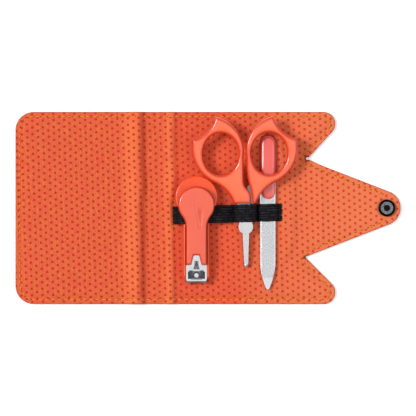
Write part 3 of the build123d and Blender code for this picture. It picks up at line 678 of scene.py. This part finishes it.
def cloth_lift(x, y):
    """How far the folded cloth, lining and cover together, stands off the table."""
    u = bowed(x, y)
    fold_crest = (FOLD_CREST + 0.2 * ripple(x * 0, y, 5, 60.0)) * swell(u, -51.5, -41.8, -41.0, -36.6)
    low_part = 1 - smooth(y, 0.0, 30.0)
    middle, _, reach = band_frame()
    # the crest is wider away from the band, since the cloth lies low under the band's end
    clear = 1.3 * smooth(np.abs(y - middle[1]), reach + 1.0, reach + 6.0)
    foot = -20.2 + 1.2 * (1 - low_part) + 0.6 * clear
    spine_crest = (SPINE_CREST + 0.3 * low_part) * swell(u, -27.4, -22.6, -22.4 + clear, foot)
    creases = CREASE * ripple(x, y * 0.22, 21, 4.6) * swell(u, -45.0, -40.0, -24.0, -19.0)
    return fold_crest + spine_crest + creases


# the lining's thickness, skin included, along a middle line, as (x, thickness)
THICKNESS = (
    (-116.0, 2.15), (-60.0, 2.2), (-48.0, 2.4), (-43.0, 2.6), (-39.5, 2.2), (-36.0, 1.75),
    (-29.0, 1.7), (-25.5, 2.3), (-23.0, 2.4), (-20.5, 2.2), (-17.0, 2.3), (-12.0, 2.5),
    (44.0, 2.5), (48.5, 2.75), (50.8, 2.7), (54.4, 1.75), (57.0, 1.65), (63.0, 1.8), (68.2, 2.25),
    (70.4, 1.85), (73.0, 1.85), (80.0, 1.95), (117.0, 1.95),
)
EAR_THICKNESS = 2.45
MARGIN_THICKNESS = 1.55  # between the seam and the case's edge


def thickness(x):
    """THICKNESS as a smooth line without overshoot."""
    xs, zs = np.array(THICKNESS).T
    slope = np.diff(zs) / np.diff(xs)
    tangent = np.zeros(len(xs))
    inner = slope[:-1] * slope[1:] > 0
    tangent[1:-1][inner] = 2 * slope[:-1][inner] * slope[1:][inner] / (slope[:-1] + slope[1:])[inner]
    k = np.clip(np.searchsorted(xs, x) - 1, 0, len(xs) - 2)
    h = xs[k + 1] - xs[k]
    t = (x - xs[k]) / h
    return (
        zs[k] * (1 + 2 * t) * (1 - t) ** 2
        + tangent[k] * h * t * (1 - t) ** 2
        + zs[k + 1] * t * t * (3 - 2 * t)
        + tangent[k + 1] * h * t * t * (t - 1)
    )


SNAP_SEAT = 5.2  # the cloth lies flat inside this radius round the snap
DISH_RADIUS = 5.7  # the stud's flange lies in a dish in the cover
dish_depth = box_mm("snap_stud")[1].z - skin_bottom
x_stud, x_snap = middle_mm("snap_stud")[0], middle_mm("snap_socket")[0]
snap_seat_top = box_mm("snap_socket")[0].z


def lining_height(x, y, edge):
    """Height of the lining's top in the frame, from its place and its distance to the edge."""
    bend = swell(x, 40.0, 47.0, 60.0, 66.0)
    z = thickness(bowed(x, y) * (1 - bend) + strip_bend(x, y) * bend)
    ear = smooth(np.abs(y), strip_root - 2.0, strip_root + 6.0) * smooth(x, 38.0, 52.0)
    z = z * (1 - ear) + EAR_THICKNESS * ear
    z = z + 0.10 * ripple(x, y, 11, 46.0) + 0.04 * ripple(x, y, 12, 13.0)
    margin = MARGIN_THICKNESS + 0.03 * ripple(x, y, 13, 7.0)
    z = margin + (z - margin) * smooth(edge, 2.9, 7.5)
    z = z - 0.25 * hump(edge, SEAM_DEPTH, 0.6)
    z = z - 0.5 * (1 - smooth(edge, 0.0, 0.7)) ** 2
    z = skin_bottom + z + cloth_lift(x, y)
    seat = smooth(np.hypot(x - x_snap, y), SNAP_SEAT - 0.4, SNAP_SEAT + 0.6)
    return (snap_seat_top - 0.3) * (1 - seat) + z * seat


# ---------------- meshes
def link(name, points, faces, material):
    """A smooth mesh object from points in millimetres; each keeps its rest place for the materials."""
    mesh = bpy.data.meshes.new(name)
    places = np.asarray(points, float) * MM
    mesh.from_pydata(places.tolist(), [], [list(map(int, f)) for f in faces])
    mesh.materials.append(material)
    mesh.polygons.foreach_set("use_smooth", [True] * len(mesh.polygons))
    keep = mesh.attributes.new("rest", "FLOAT_VECTOR", "POINT")
    keep.data.foreach_set("vector", places.astype(np.float32).ravel())
    mesh.update()
    return put(name, mesh)


def keep_value(piece, name, values):
    """Keeps one number for each vertex, for a material to read."""
    kept = piece.data.attributes.new(name, "FLOAT", "POINT")
    kept.data.foreach_set("value", values.astype(np.float32))


def inside(points, *loops):
    """Which points lie inside closed loops; a loop inside another is a hole."""
    x, y = points.T
    result = np.zeros(len(points), bool)
    for loop in loops:
        for (x0, y0), (x1, y1) in zip(loop, np.roll(loop, -1, axis=0)):
            crosses = (y0 > y) != (y1 > y)
            if crosses.any():
                at = x0 + (y[crosses] - y0) * (x1 - x0) / (y1 - y0)
                result[crosses] ^= x[crosses] < at
    return result


def cut_line(x, half):
    """Points along a cut across the cloth, the same for the pieces on both sides."""
    return resample([(x, -half), (x, half)], 0.9)


def ring(*parts):
    """A closed loop of the parts, turned so that it starts with the last point."""
    return np.roll(joined(*parts), 1, axis=0)


PAINT = 0.3  # the edge's paint reaches this far in
EDGE_ROWS = (0.26, 0.55, 1.0, 1.6, 2.15, 2.75, 3.35, 4.0, 4.9)  # rows of points along the edge
GRID = 1.0


def triangulate(loop):
    """Points and triangles that fill a loop, in rows along the case's edge and a grid elsewhere."""
    low, high = loop.min(0), loop.max(0)
    xs = np.arange(math.ceil(low[0] / GRID) * GRID, high[0], GRID)
    ys = np.arange(math.ceil(low[1] / GRID) * GRID, high[1], GRID)
    grid = np.stack(np.meshgrid(xs, ys), -1).reshape(-1, 2)
    grid = grid[distance_to(grid, case_outline) > EDGE_ROWS[-1] + 0.6]
    fill = np.vstack([inset(depth, 0.97) for depth in EDGE_ROWS] + [grid])
    fill = fill[inside(fill, loop)]
    gaps = distance_to(fill, loop)
    fill = fill[gaps > np.where(distance_to(fill, case_outline) < 6, 0.15, 0.4)]
    points = [Vector(p) for p in np.vstack([loop, fill])]
    flat, _, faces, _, _, _ = delaunay_2d_cdt(points, [], [list(range(len(loop)))], 1, 1e-5)
    return np.array([tuple(v) for v in flat]), [list(f) for f in faces]


def boundary_edges(faces):
    seen = {pair for face in faces for pair in zip(face, face[1:] + face[:1])}
    return [(a, b) for a, b in seen if (b, a) not in seen]


def closed_sheet(name, flat, faces, edge, bottom, top, materials):
    """A closed thin body between two height fields over the same triangles. materials: top, side, bottom.

    The side's paint also covers what lies within PAINT of the case's edge."""
    count = len(flat)
    points = np.vstack([np.column_stack([flat, top]), np.column_stack([flat, bottom])])
    all_faces = [list(f) for f in faces] + [[i + count for i in reversed(f)] for f in faces]
    rim_edges = boundary_edges(faces)
    sides = [[b, a, a + count, b + count] for a, b in rim_edges]
    made = link(name, points, all_faces + sides, materials[0])
    for material in materials[1:]:
        made.data.materials.append(material)
    painted = [edge[f].max() < PAINT for f in faces]
    index = [int(p) for p in painted] + [1 if p else 2 for p in painted] + [1] * len(sides)
    made.data.polygons.foreach_set("material_index", index)
    rim = {i for pair in rim_edges for i in pair}
    for line in made.data.edges:
        a, b = line.vertices
        line.use_edge_sharp = (a in rim and b in rim) or (a - count in rim and b - count in rim)
    return made


def case_pieces():
    """The cloth pieces, each crossing one fold at most: name, loop, bodies, fold, lining and skin nodes."""
    waist_half = np.interp(x_gusset_middle, gusset_low[:, 0], -gusset_low[:, 1])
    spine, split = cut_line(x_spine_middle, half_width), cut_line(x_back_split, half_width)
    root, waist = cut_line(x_strip_start, strip_root + 0.1), cut_line(x_gusset_middle, waist_half)

    def right_of(x, *chains):
        return [chain[chain[:, 0] > x] for chain in chains]

    def left_of(x, *chains):
        return [chain[chain[:, 0] < x] for chain in chains]

    near_low, near_high = left_of(x_gusset_middle - 0.5, gusset_low, gusset_high)
    far_low, far_high = right_of(x_gusset_middle + 0.5, gusset_low, gusset_high)
    ear_low, ear_high = right_of(x_back_split + 1, back_low, back_high)
    cover = joined(*left_of(x_cover_fold - 1, front_chain), spine)
    inner = ring(split, spine[::-1])
    outer = ring(ear_low, notch_low, root, ear_high, split[::-1])
    strip = ring(notch_low, near_low, waist, near_high, root[::-1])
    tip = ring(far_low, flap_chain, far_high, waist[::-1])
    return (
        ("cover", cover, ("front_cover", "spine"), x_cover_fold, ("front_lining", "front_board"),
         "front_skin"),
        ("inner_back", inner, ("spine", "back_panel"), x_spine_fold, ("spine_lining",), "spine_skin"),
        ("outer_back", outer, ("back_panel",), None, ("back_lining", "back_board"), "back_skin"),
        ("strip", strip, ("back_panel", "gusset"), x_gusset_fold, ("gusset_lining",), "gusset_skin"),
        ("tip", tip, ("gusset", "flap"), x_flap_fold, ("flap_lining", "flap_board"), "flap_skin"),
    )


# how far before and after each fold the cloth of a piece reaches; fasten reads these but bends nothing
FOLD_REACH = {"cover": (5.2, 5.0), "inner_back": (6.0, 3.0), "strip": (2.2, 2.2), "tip": (2.4, 2.4)}


def fasten(piece, region, bodies, fold):
    """Ride on one body; a piece across a fold is not bent, its transform is only baked into its mesh."""
    if fold is None:
        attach(piece, bodies[0])
    else:
        before, after = FOLD_REACH[region]
        z = (skin_bottom + 0.4) * MM
        start, end = ((fold - before) * MM, 0, z), ((fold + after) * MM, 0, z)
        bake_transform(piece)


def dress_case(looks):
    for name, loop, bodies, fold, lining_nodes, skin_node in case_pieces():
        flat, faces = triangulate(resample(loop, 0.8, closed=True, longest=1.2))
        x, y = flat.T
        edge = distance_to(flat, case_outline)
        lift = cloth_lift(x, y)
        lift = lift + dish_depth * (1 - smooth(np.hypot(x - x_stud, y), DISH_RADIUS, DISH_RADIUS + 1.2))
        seat = skin_top + lift
        top = np.maximum(lining_height(x, y, edge), seat + 0.2)
        faced = (looks["lining_fabric"], looks["board"], looks["lining_fabric"])
        lining = closed_sheet(name + "_lining", flat, faces, edge, seat, top, faced)
        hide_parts(*lining_nodes)
        fasten(lining, name, bodies, fold)
        under = skin_bottom + lift + 0.2 * (1 - smooth(edge, 0.0, 0.6)) + 0.12 * hump(edge, SEAM_DEPTH, 0.5)
        faced = (looks["skin_leather"], looks["board"], looks["skin_leather"])
        skin = closed_sheet(name + "_skin", flat, faces, edge, under, seat - 0.01, faced)
        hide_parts(skin_node)
        fasten(skin, name, bodies, fold)


# ---------------- seams
STITCH_PITCH = 3.8
STITCH_GAP = 1.1  # between two stitches, where the needle went in
THREAD_RADIUS = 0.36
HOLE_LENGTH, HOLE_WIDTH = 0.56, 0.34  # half the size of a stretched needle hole
TIGHT_EDGE, TIGHT_HOLE = 6.0, 1.35  # the seam at the cover's free edge is pulled tight: holes are wider
SEAM_END = 7.6  # the seam stops this far from the middle of the snap


def seam_line():
    """The needle holes' places, a stitch pitch apart along a line inside the case's edge."""
    line = inset(SEAM_DEPTH, 0.985)
    closed = np.vstack([line, line[:1]])
    reach = reach_along(closed)
    count = int(round(reach[-1] / STITCH_PITCH))
    at = np.arange(count) * reach[-1] / count
    return np.column_stack([np.interp(at, reach, closed[:, 0]), np.interp(at, reach, closed[:, 1])])


def circle(sides):
    """Cosines and sines round a circle."""
    turns = [2 * math.pi * j / sides for j in range(sides)]
    return np.array([(math.cos(turn), math.sin(turn)) for turn in turns])


def tube(path, radii, sides=8):
    """Points and faces of a closed tube along a path."""
    path = np.asarray(path, float)
    ahead = np.gradient(path, axis=0)
    ahead /= np.linalg.norm(ahead, axis=1)[:, None]
    side = np.cross(ahead, (0, 0, 1.0))
    side /= np.maximum(np.linalg.norm(side, axis=1), 1e-9)[:, None]
    up = np.cross(side, ahead)
    across, above = circle(sides).T[..., None]
    rings = across * side[:, None] + above * up[:, None]
    points = path[:, None] + np.array(radii)[:, None, None] * rings
    faces = []
    for row in range(0, (len(path) - 1) * sides, sides):
        for j in range(sides):
            a, b = row + j, row + (j + 1) % sides
            faces.append([a, b, b + sides, a + sides])
    ends = [list(range(sides))[::-1], list(range((len(path) - 1) * sides, len(path) * sides))]
    return points.reshape(-1, 3), faces + ends


def merge(parts):
    points, faces = [], []
    for some_points, some_faces in parts:
        faces += [[i + len(points) for i in face] for face in some_faces]
        points += list(some_points)
    return points, faces


def stitch(a, b, height_a, height_b, side):
    """One stitch from hole a to hole b, bowed a little off the cloth. side is 1 above it and -1 below."""
    share = STITCH_GAP / 2 / np.hypot(*(b - a))
    path, radii = [], []
    for t in np.linspace(share, 1 - share, 7):
        x, y = a + (b - a) * t
        bow = max(0.0, math.sin(math.pi * (t - share) / (1 - 2 * share)))
        path.append((x, y, height_a + (height_b - height_a) * t + side * (0.34 * bow - 0.10)))
        radii.append(THREAD_RADIUS * (0.5 + 0.5 * bow**0.5))
    return tube(path, radii)


def needle_hole(x, y, ahead, height, side):
    """A dimple where the thread goes through, drawn out along the seam, painted dark as the shade inside
    the hole.
    """
    sides = 12
    wide = TIGHT_HOLE if x < x_free_edge + TIGHT_EDGE else 1.0
    along, across = (circle(sides) * (wide * HOLE_LENGTH, wide * HOLE_WIDTH)).T
    c, s = ahead
    rim = np.column_stack([x + c * along - s * across, y + s * along + c * across])
    points = [(x, y, height + side * 0.02)]
    points += [(*place, height + side * level) for level in (0.07, -0.15) for place in rim]
    ring = list(range(1, sides + 1))
    pairs = list(zip(ring, ring[1:] + ring[:1]))
    faces = [[0, a, b] for a, b in pairs] + [[a, a + sides, b + sides, b] for a, b in pairs]
    return points, faces + [[a + sides for a in reversed(ring)]]


def region_of(x, y):
    """Which cloth piece lies at a point."""
    if x < x_spine_middle:
        return "cover"
    if x < x_back_split:
        return "inner_back"
    if x < x_gusset_fold or abs(y) > strip_root:
        return "outer_back"
    return "strip" if x < x_gusset_middle else "tip"


def at_snap(place):
    return math.hypot(place[0] - x_snap, place[1]) < SEAM_END


def dress_seams(looks):
    holes = seam_line()
    heights = lining_height(*holes.T, distance_to(holes, case_outline))
    under_heights = skin_bottom + 0.1 + cloth_lift(*holes.T)
    rows = (holes, heights, under_heights)
    nexts = [np.roll(row, -1, axis=0) for row in rows]
    for name, _, bodies, fold, _, _ in case_pieces():
        top, under, dark = [], [], []
        for a, height, low, b, next_height, next_low in zip(*rows, *nexts):
            if at_snap(a):
                continue
            step = np.hypot(*(b - a))
            if region_of(*((a + b) / 2)) == name and step < 1.5 * STITCH_PITCH and not at_snap(b):
                top.append(stitch(a, b, height, next_height, 1))
                under.append(stitch(a, b, low, next_low, -1))
            if region_of(*a) == name:
                dark.append(needle_hole(*a, (b - a) / step, height, 1))
                dark.append(needle_hole(*a, (b - a) / step, low, -1))
        for label, parts, look in (("seam", top + under, "thread"), ("needle_holes", dark, "hole")):
            piece = link(f"{name}_{label}", *merge(parts), looks[look])
            fasten(piece, name, bodies, fold)


# ---------------- elastic band
BAND_SLANT = math.radians(1.7)
BAND_RIBS = 7
BAND_TACKS = (15.5, 29.7)  # where the band is sewn down between two tools


def band_frame():
    """The band's middle, the corners of its side view along its own length, and half its width."""
    points = points_mm(nodes["elastic_band"].data)
    middle = (points[:, :2].max(0) + points[:, :2].min(0)) / 2
    c, s = math.cos(-BAND_SLANT), math.sin(-BAND_SLANT)
    flat = points[:, :2] - middle
    along = flat[:, 0] * c - flat[:, 1] * s
    across = flat[:, 0] * s + flat[:, 1] * c
    near_side = across < across.min() + 0.1
    side = np.unique(np.round(np.column_stack([along, points[:, 2]])[near_side], 3), axis=0)
    return middle, side, across.max()


def band_line(side):
    """Pairs the corners of the band's side view, lower with upper, and rounds the line between them."""
    side = side[np.argsort(side[:, 0])]
    count = len(side) // 2
    used, pairs = set(), []
    for k in range(len(side)):
        if k in used:
            continue
        gaps = np.hypot(*(side - side[k]).T)
        gaps[[k, *used]] = 1e9
        mate = int(np.argmin(gaps))
        used |= {k, mate}
        pairs.append((side[k] + side[mate]) / 2)
    line = np.array(pairs[:count])
    line = line[np.argsort(line[:, 0])]
    for _ in range(3):
        a, b = line[:-1], line[1:]
        cut = np.empty((2 * len(a), 2))
        cut[0::2], cut[1::2] = 0.75 * a + 0.25 * b, 0.25 * a + 0.75 * b
        line = np.vstack([line[:1], cut, line[-1:]])
    return resample(line, 0.4)


def band_place(middle, x, y, z):
    """A point given along and across the band, in the frame's axes."""
    c, s = math.cos(BAND_SLANT), math.sin(BAND_SLANT)
    return middle[0] + x * c - y * s, middle[1] + x * s + y * c, z


def dress_band(looks):
    middle, side, half = band_frame()
    line = band_line(side)
    ahead = np.gradient(line, axis=0)
    ahead /= np.hypot(*ahead.T)[:, None]
    normal = np.column_stack([-ahead[:, 1], ahead[:, 0]])
    across = np.linspace(-1, 1, 8 * BAND_RIBS + 1)
    rib = np.abs(np.sin(math.pi * BAND_RIBS * (across + 1) / 2)) ** 0.7
    reach = reach_along(line)
    rough = np.random.default_rng(5).normal(0, 0.012, (len(line), len(across)))
    wander = 0.10 * np.sin(reach / 3.1) + 0.06 * np.sin(reach / 1.3 + 1)

    def surface(offset):
        x, z = line[:, :1] + normal[:, :1] * offset, line[:, 1:] + normal[:, 1:] * offset
        y = across * half + wander[:, None] * np.abs(across) ** 4
        return np.stack(band_place(middle, x, y, z), -1).reshape(-1, 3)

    upper = surface(0.04 + 0.32 * rib + rough)
    lower = surface(-0.24 + 0.05 * rib)
    width, total = len(across), len(line) * len(across)
    faces = []
    for k in range(len(line) - 1):
        for j in range(width - 1):
            a = k * width + j
            faces.append([a, a + width, a + width + 1, a + 1])
            faces.append([a + total, a + 1 + total, a + width + 1 + total, a + width + total])
    rim = boundary_edges([f for f in faces if f[0] < total])
    faces += [[b, a, a + total, b + total] for a, b in rim]
    band = link("elastic_band_woven", np.vstack([upper, lower]), faces, looks["elastic"])
    keep_value(band, "rib", np.tile(rib, 2 * len(line)))
    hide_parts("elastic_band")
    threads = link("elastic_band_threads", *merge(band_yarns(line, middle, half)), looks["elastic"])
    for piece in (band, threads):
        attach(piece, "back_panel")


def band_yarns(line, middle, half):
    """Frayed yarns at the band's ends and along its sides, and rows of tacking stitches across it."""
    source = random.Random(8)
    yarns = []

    def yarn(x, y, z, radii):
        yarns.append(tube(np.column_stack(band_place(middle, x, y, z)), radii, 6))

    t = np.array((0, 0.3, 0.6, 0.85, 1))
    for end, outward in ((line[0], -1), (line[-1], 1)):
        for k in range(26):
            y = half * (-0.97 + 1.94 * k / 25) + source.uniform(-0.1, 0.1)
            reach = source.uniform(0.3, 1.5)
            drift = source.uniform(-0.3, 0.3)
            z = end[1] + source.uniform(-0.1, 0.25)
            x = end[0] + outward * (reach * t - 0.3)
            yarn(x, y + drift * t * t, z - 0.25 * t * t, (0.20, 0.19, 0.17, 0.13, 0.05))
    t = np.array((0, 0.35, 0.7, 1))
    for x in np.arange(line[0][0], line[-1][0], 0.55):
        for edge_side in (-1, 1):
            x_root = x + source.uniform(-0.2, 0.2)
            z = np.interp(x_root, *line.T)
            reach, lean = source.uniform(0.1, 0.6), source.uniform(-0.3, 0.3)
            y = edge_side * (half - 0.25 + reach * t)
            yarn(x_root + lean * t, y, z - 0.1 * t, (0.16, 0.15, 0.12, 0.04))
    t = np.array((-1, -0.5, 0, 0.5, 1))
    for place in [line[0][0] + 1.9, line[-1][0] - 1.7] + [x - middle[0] for x in BAND_TACKS]:
        z = np.interp(place, *line.T) + 0.30
        for k in range(11):
            y = half * (-0.9 + 1.8 * k / 10)
            lean = 0.28 if k % 2 else -0.28
            yarn(place + lean * t, y + t * 0.42, z + 0.16 * (1 - t * t), (0.10, 0.15, 0.16, 0.15, 0.10))
    return yarns


# ---------------- moulded pieces
def remeshed(node, voxel):
    """The node's own shape as an even mesh."""
    copy = put(node + "_moulded", nodes[node].data.copy())
    remesh = copy.modifiers.new("voxels", "REMESH")
    remesh.mode = "VOXEL"
    remesh.voxel_size = voxel * MM
    remesh.use_smooth_shade = True
    return baked(copy)


def softened(piece, rounds):
    soften = piece.modifiers.new("soften", "SMOOTH")
    soften.factor = 0.5
    soften.iterations = rounds
    return baked(piece)


def baked(piece):
    """The piece with its modifiers applied."""
    evaluated = piece.evaluated_get(bpy.context.evaluated_depsgraph_get())
    mesh = bpy.data.meshes.new_from_object(evaluated)
    piece.modifiers.clear()
    piece.data = mesh
    return piece


def plate_axes(mesh):
    """Two directions in a plate's plane and the one its upper face looks in."""
    facing = {}
    for face in mesh.polygons:
        if face.normal.z > 0:
            key = tuple(round(v, 2) for v in face.normal)
            facing[key] = facing.get(key, np.zeros(3)) + face.area * np.array(face.normal)
    up = max(facing.values(), key=np.linalg.norm)
    up = up / np.linalg.norm(up)
    side = np.cross((0, 1.0, 0), up)
    side /= np.linalg.norm(side)
    return side, np.cross(up, side), up


def top_loops(mesh, axes):
    """The outlines of a plate's upper face in its own plane, without its small hollows."""
    a, b, height = (points_mm(mesh) @ axis for axis in axes)
    keys = [(round(u, 3), round(v, 3)) for u, v in zip(a, b)]
    loops = face_outlines(mesh, keys, height > height.max() - 0.02)
    largest = max(abs(signed_area(loop)) for loop in loops)
    return [loop for loop in loops if abs(signed_area(loop)) > largest / 5]


def depth_in(points, loops):
    """How far each point lies inside the loops' face; negative outside it."""
    best = distance_to(points, *loops)
    return np.where(inside(points, *loops), best, -best)


def rounded(node, look, body, voxel, bevel, top_round, low_round, crown, painted_shade_width, mark=None):
    """A moulded plate with the round edges of its mould, made from the node's own shape.

    bevel is the width of the node's own edge; the rounds are the mould's; mark is pressed into the top and
    painted darker as shade."""
    axes = plate_axes(nodes[node].data)
    loops = top_loops(nodes[node].data, axes)
    piece = remeshed(node, voxel)
    mesh = piece.data
    places = points_mm(mesh)
    a, b, height = (places @ axis for axis in axes)
    top, low = height.max(), height.min()
    depth = np.maximum(depth_in(np.column_stack([a, b]), loops) + bevel, 0)

    def drop(radius):
        return radius - np.sqrt(np.maximum(radius**2 - (radius - np.minimum(depth, radius)) ** 2, 0))

    slump = crown * (1 - smooth(depth, 0.0, 5.0))
    kept = np.clip(height, low + drop(low_round), top - drop(top_round) - slump)
    pressed = np.zeros(len(kept))
    if mark:
        pressed = mark(places[:, 0], places[:, 1]) * (kept > (top + low) / 2)
    kept = kept - pressed
    places += (kept - height)[:, None] * axes[2]
    mesh.vertices.foreach_set("co", (places * MM).ravel())
    softened(piece, 5)
    # painted shade: a deeper colour kept along the rims, in the hollows and in the pressed mark
    inner = smooth(depth, top_round, top_round + 0.6) * (kept > (top + low) / 2)
    hollow = np.clip((top - kept) / 0.45, 0, 1) * inner
    shade = np.maximum(1 - depth / painted_shade_width, np.maximum(0.62 * hollow, 3.0 * pressed))
    keep_value(piece, "rim", np.clip(shade, 0, 1))
    finish(piece, node, look, body)


def finish(piece, node, look, body):
    piece.data.materials.clear()
    piece.data.materials.append(look)
    piece.data.polygons.foreach_set("material_index", [0] * len(piece.data.polygons))
    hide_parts(node)
    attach(piece, body)


MARK_TOP, MARK_LOW = 7.6, 26.5  # the pressed leaf's ends, below the top of the lever's cover
MARK_WIDTH = 4.4
GROOVE_DEPTH, LEAF_DEPTH = 0.24, 0.26


def lever_mark(x, y):
    """A long leaf pressed into the lever's cover: a groove at its left, a face that falls to the right."""
    cover_top = box_mm("lever_cover")[1].y
    top, low = cover_top - MARK_TOP, cover_top - MARK_LOW
    t = np.clip((top - y) / (top - low), 0, 1)
    left = middle_mm("lever_cover")[0] - 2.0 + 3.6 * t
    width = MARK_WIDTH * np.sin(math.pi * t) ** 0.8 + 1e-6
    share = (x - left) / width
    ends = swell(t, 0.0, 0.05, 0.95, 1.0)
    groove = GROOVE_DEPTH * np.exp(-(((x - left) / 0.38) ** 2))
    face = LEAF_DEPTH * np.clip(share, 0, 1) * (1 - smooth(share, 0.5, 1.0)) * smooth(t, 0.1, 0.5)
    return np.maximum(groove, face) * ends


def dress_tools(looks):
    # voxel, bevel, top round, low round, crown, width of the painted shade along the rim
    for side in ("left", "right"):
        node, body = "scissor_handle_" + side, "scissors_" + side
        rounded(node, looks["orange_plastic"], body, 0.28, 0.85, 1.7, 1.0, 0.25, 3.2)
    salmon, pink = looks["salmon_plastic"], looks["pink_plastic"]
    rounded("lever_cover", salmon, "lever", 0.25, 0.6, 1.2, 0.3, 0.15, 1.6, lever_mark)
    rounded("file_handle", pink, "nail_file", 0.22, 0.5, 2.6, 0.4, 0.1, 1.5)
    housing = softened(remeshed("clipper_housing", 0.24), 6)
    finish(housing, "clipper_housing", looks["housing_plastic"], "clipper_base")


# ---------------- the whole scene
# painted rim shade, dark and light colour, roughness, and coat
PLASTICS = {
    "orange_plastic": ((0.68, 0.032, 0.003), (0.84, 0.116, 0.036), (0.94, 0.178, 0.064), 0.30, 0.5),
    "housing_plastic": ((0.62, 0.040, 0.008), (0.76, 0.052, 0.002), (0.84, 0.080, 0.006), 0.32, 0.15),
    "salmon_plastic": ((0.64, 0.032, 0.005), (0.76, 0.094, 0.042), (0.82, 0.126, 0.062), 0.32, 0.35),
    "pink_plastic": ((0.42, 0.014, 0.012), (0.68, 0.056, 0.042), (0.80, 0.105, 0.080), 0.14, 1.0),
}
# polished steel, and copies of it with painted shade on the lever, the pin and the upper jaw
POLISHED_STEELS = {
    "polished_steel": None, "lever_steel": lever_shade, "pin_steel": pin_shade, "jaw_steel": jaw_shade,
}
# a node with no look of its own takes the one named after its slot
LOOK_OF_NODE = {
    "clipper_lower_jaw": "dark_steel", "snap_socket": "socket", "file_blade": "grit",
    "clipper_lever": "lever_steel", "clipper_pin": "pin_steel", "clipper_upper_jaw": "jaw_steel",
    "scissor_blade_left": "blade", "scissor_blade_right": "blade", "file_handle": "pink_plastic",
}


def make_looks():
    looks = {
        "lining_fabric": lining_material(),
        "skin_leather": leather_material(),
        "board": edge_material(),
        "thread": thread_material(),
        "hole": hole_material(),
        "elastic": elastic_material(),
        "dark_steel": steel_material("shaded_steel", (0.10, 0.105, 0.115), 0.30, 0.01, 0.10),
        "steel": steel_material("satin_steel", (0.76, 0.77, 0.79), 0.28, 0.0, 0.02),
        "blade": steel_material("blade_steel", (0.78, 0.79, 0.81), 0.26, 0.0, 0.03, shank_shade),
        "snap_metal": steel_material("snap_metal", (0.10, 0.11, 0.12), 0.42, 0.02),
        "socket": socket_material(),
        "grit": grit_material(),
    }
    for name, values in PLASTICS.items():
        looks[name] = moulded_material(name, *values)
    for name, shading in POLISHED_STEELS.items():
        looks[name] = steel_material(name, (0.72, 0.73, 0.75), 0.16, 0.0, 0.22, shading)
    return looks


def main():
    make_camera()
    make_lights()
    make_floor()
    looks = make_looks()
    dress_case(looks)
    dress_seams(looks)
    dress_band(looks)
    dress_tools(looks)
    for part in frame["record"]["subparts"]:
        materials = nodes[part["node"]].data.materials
        materials.clear()
        materials.append(looks[LOOK_OF_NODE.get(part["node"], part["material_slot"])])


main()
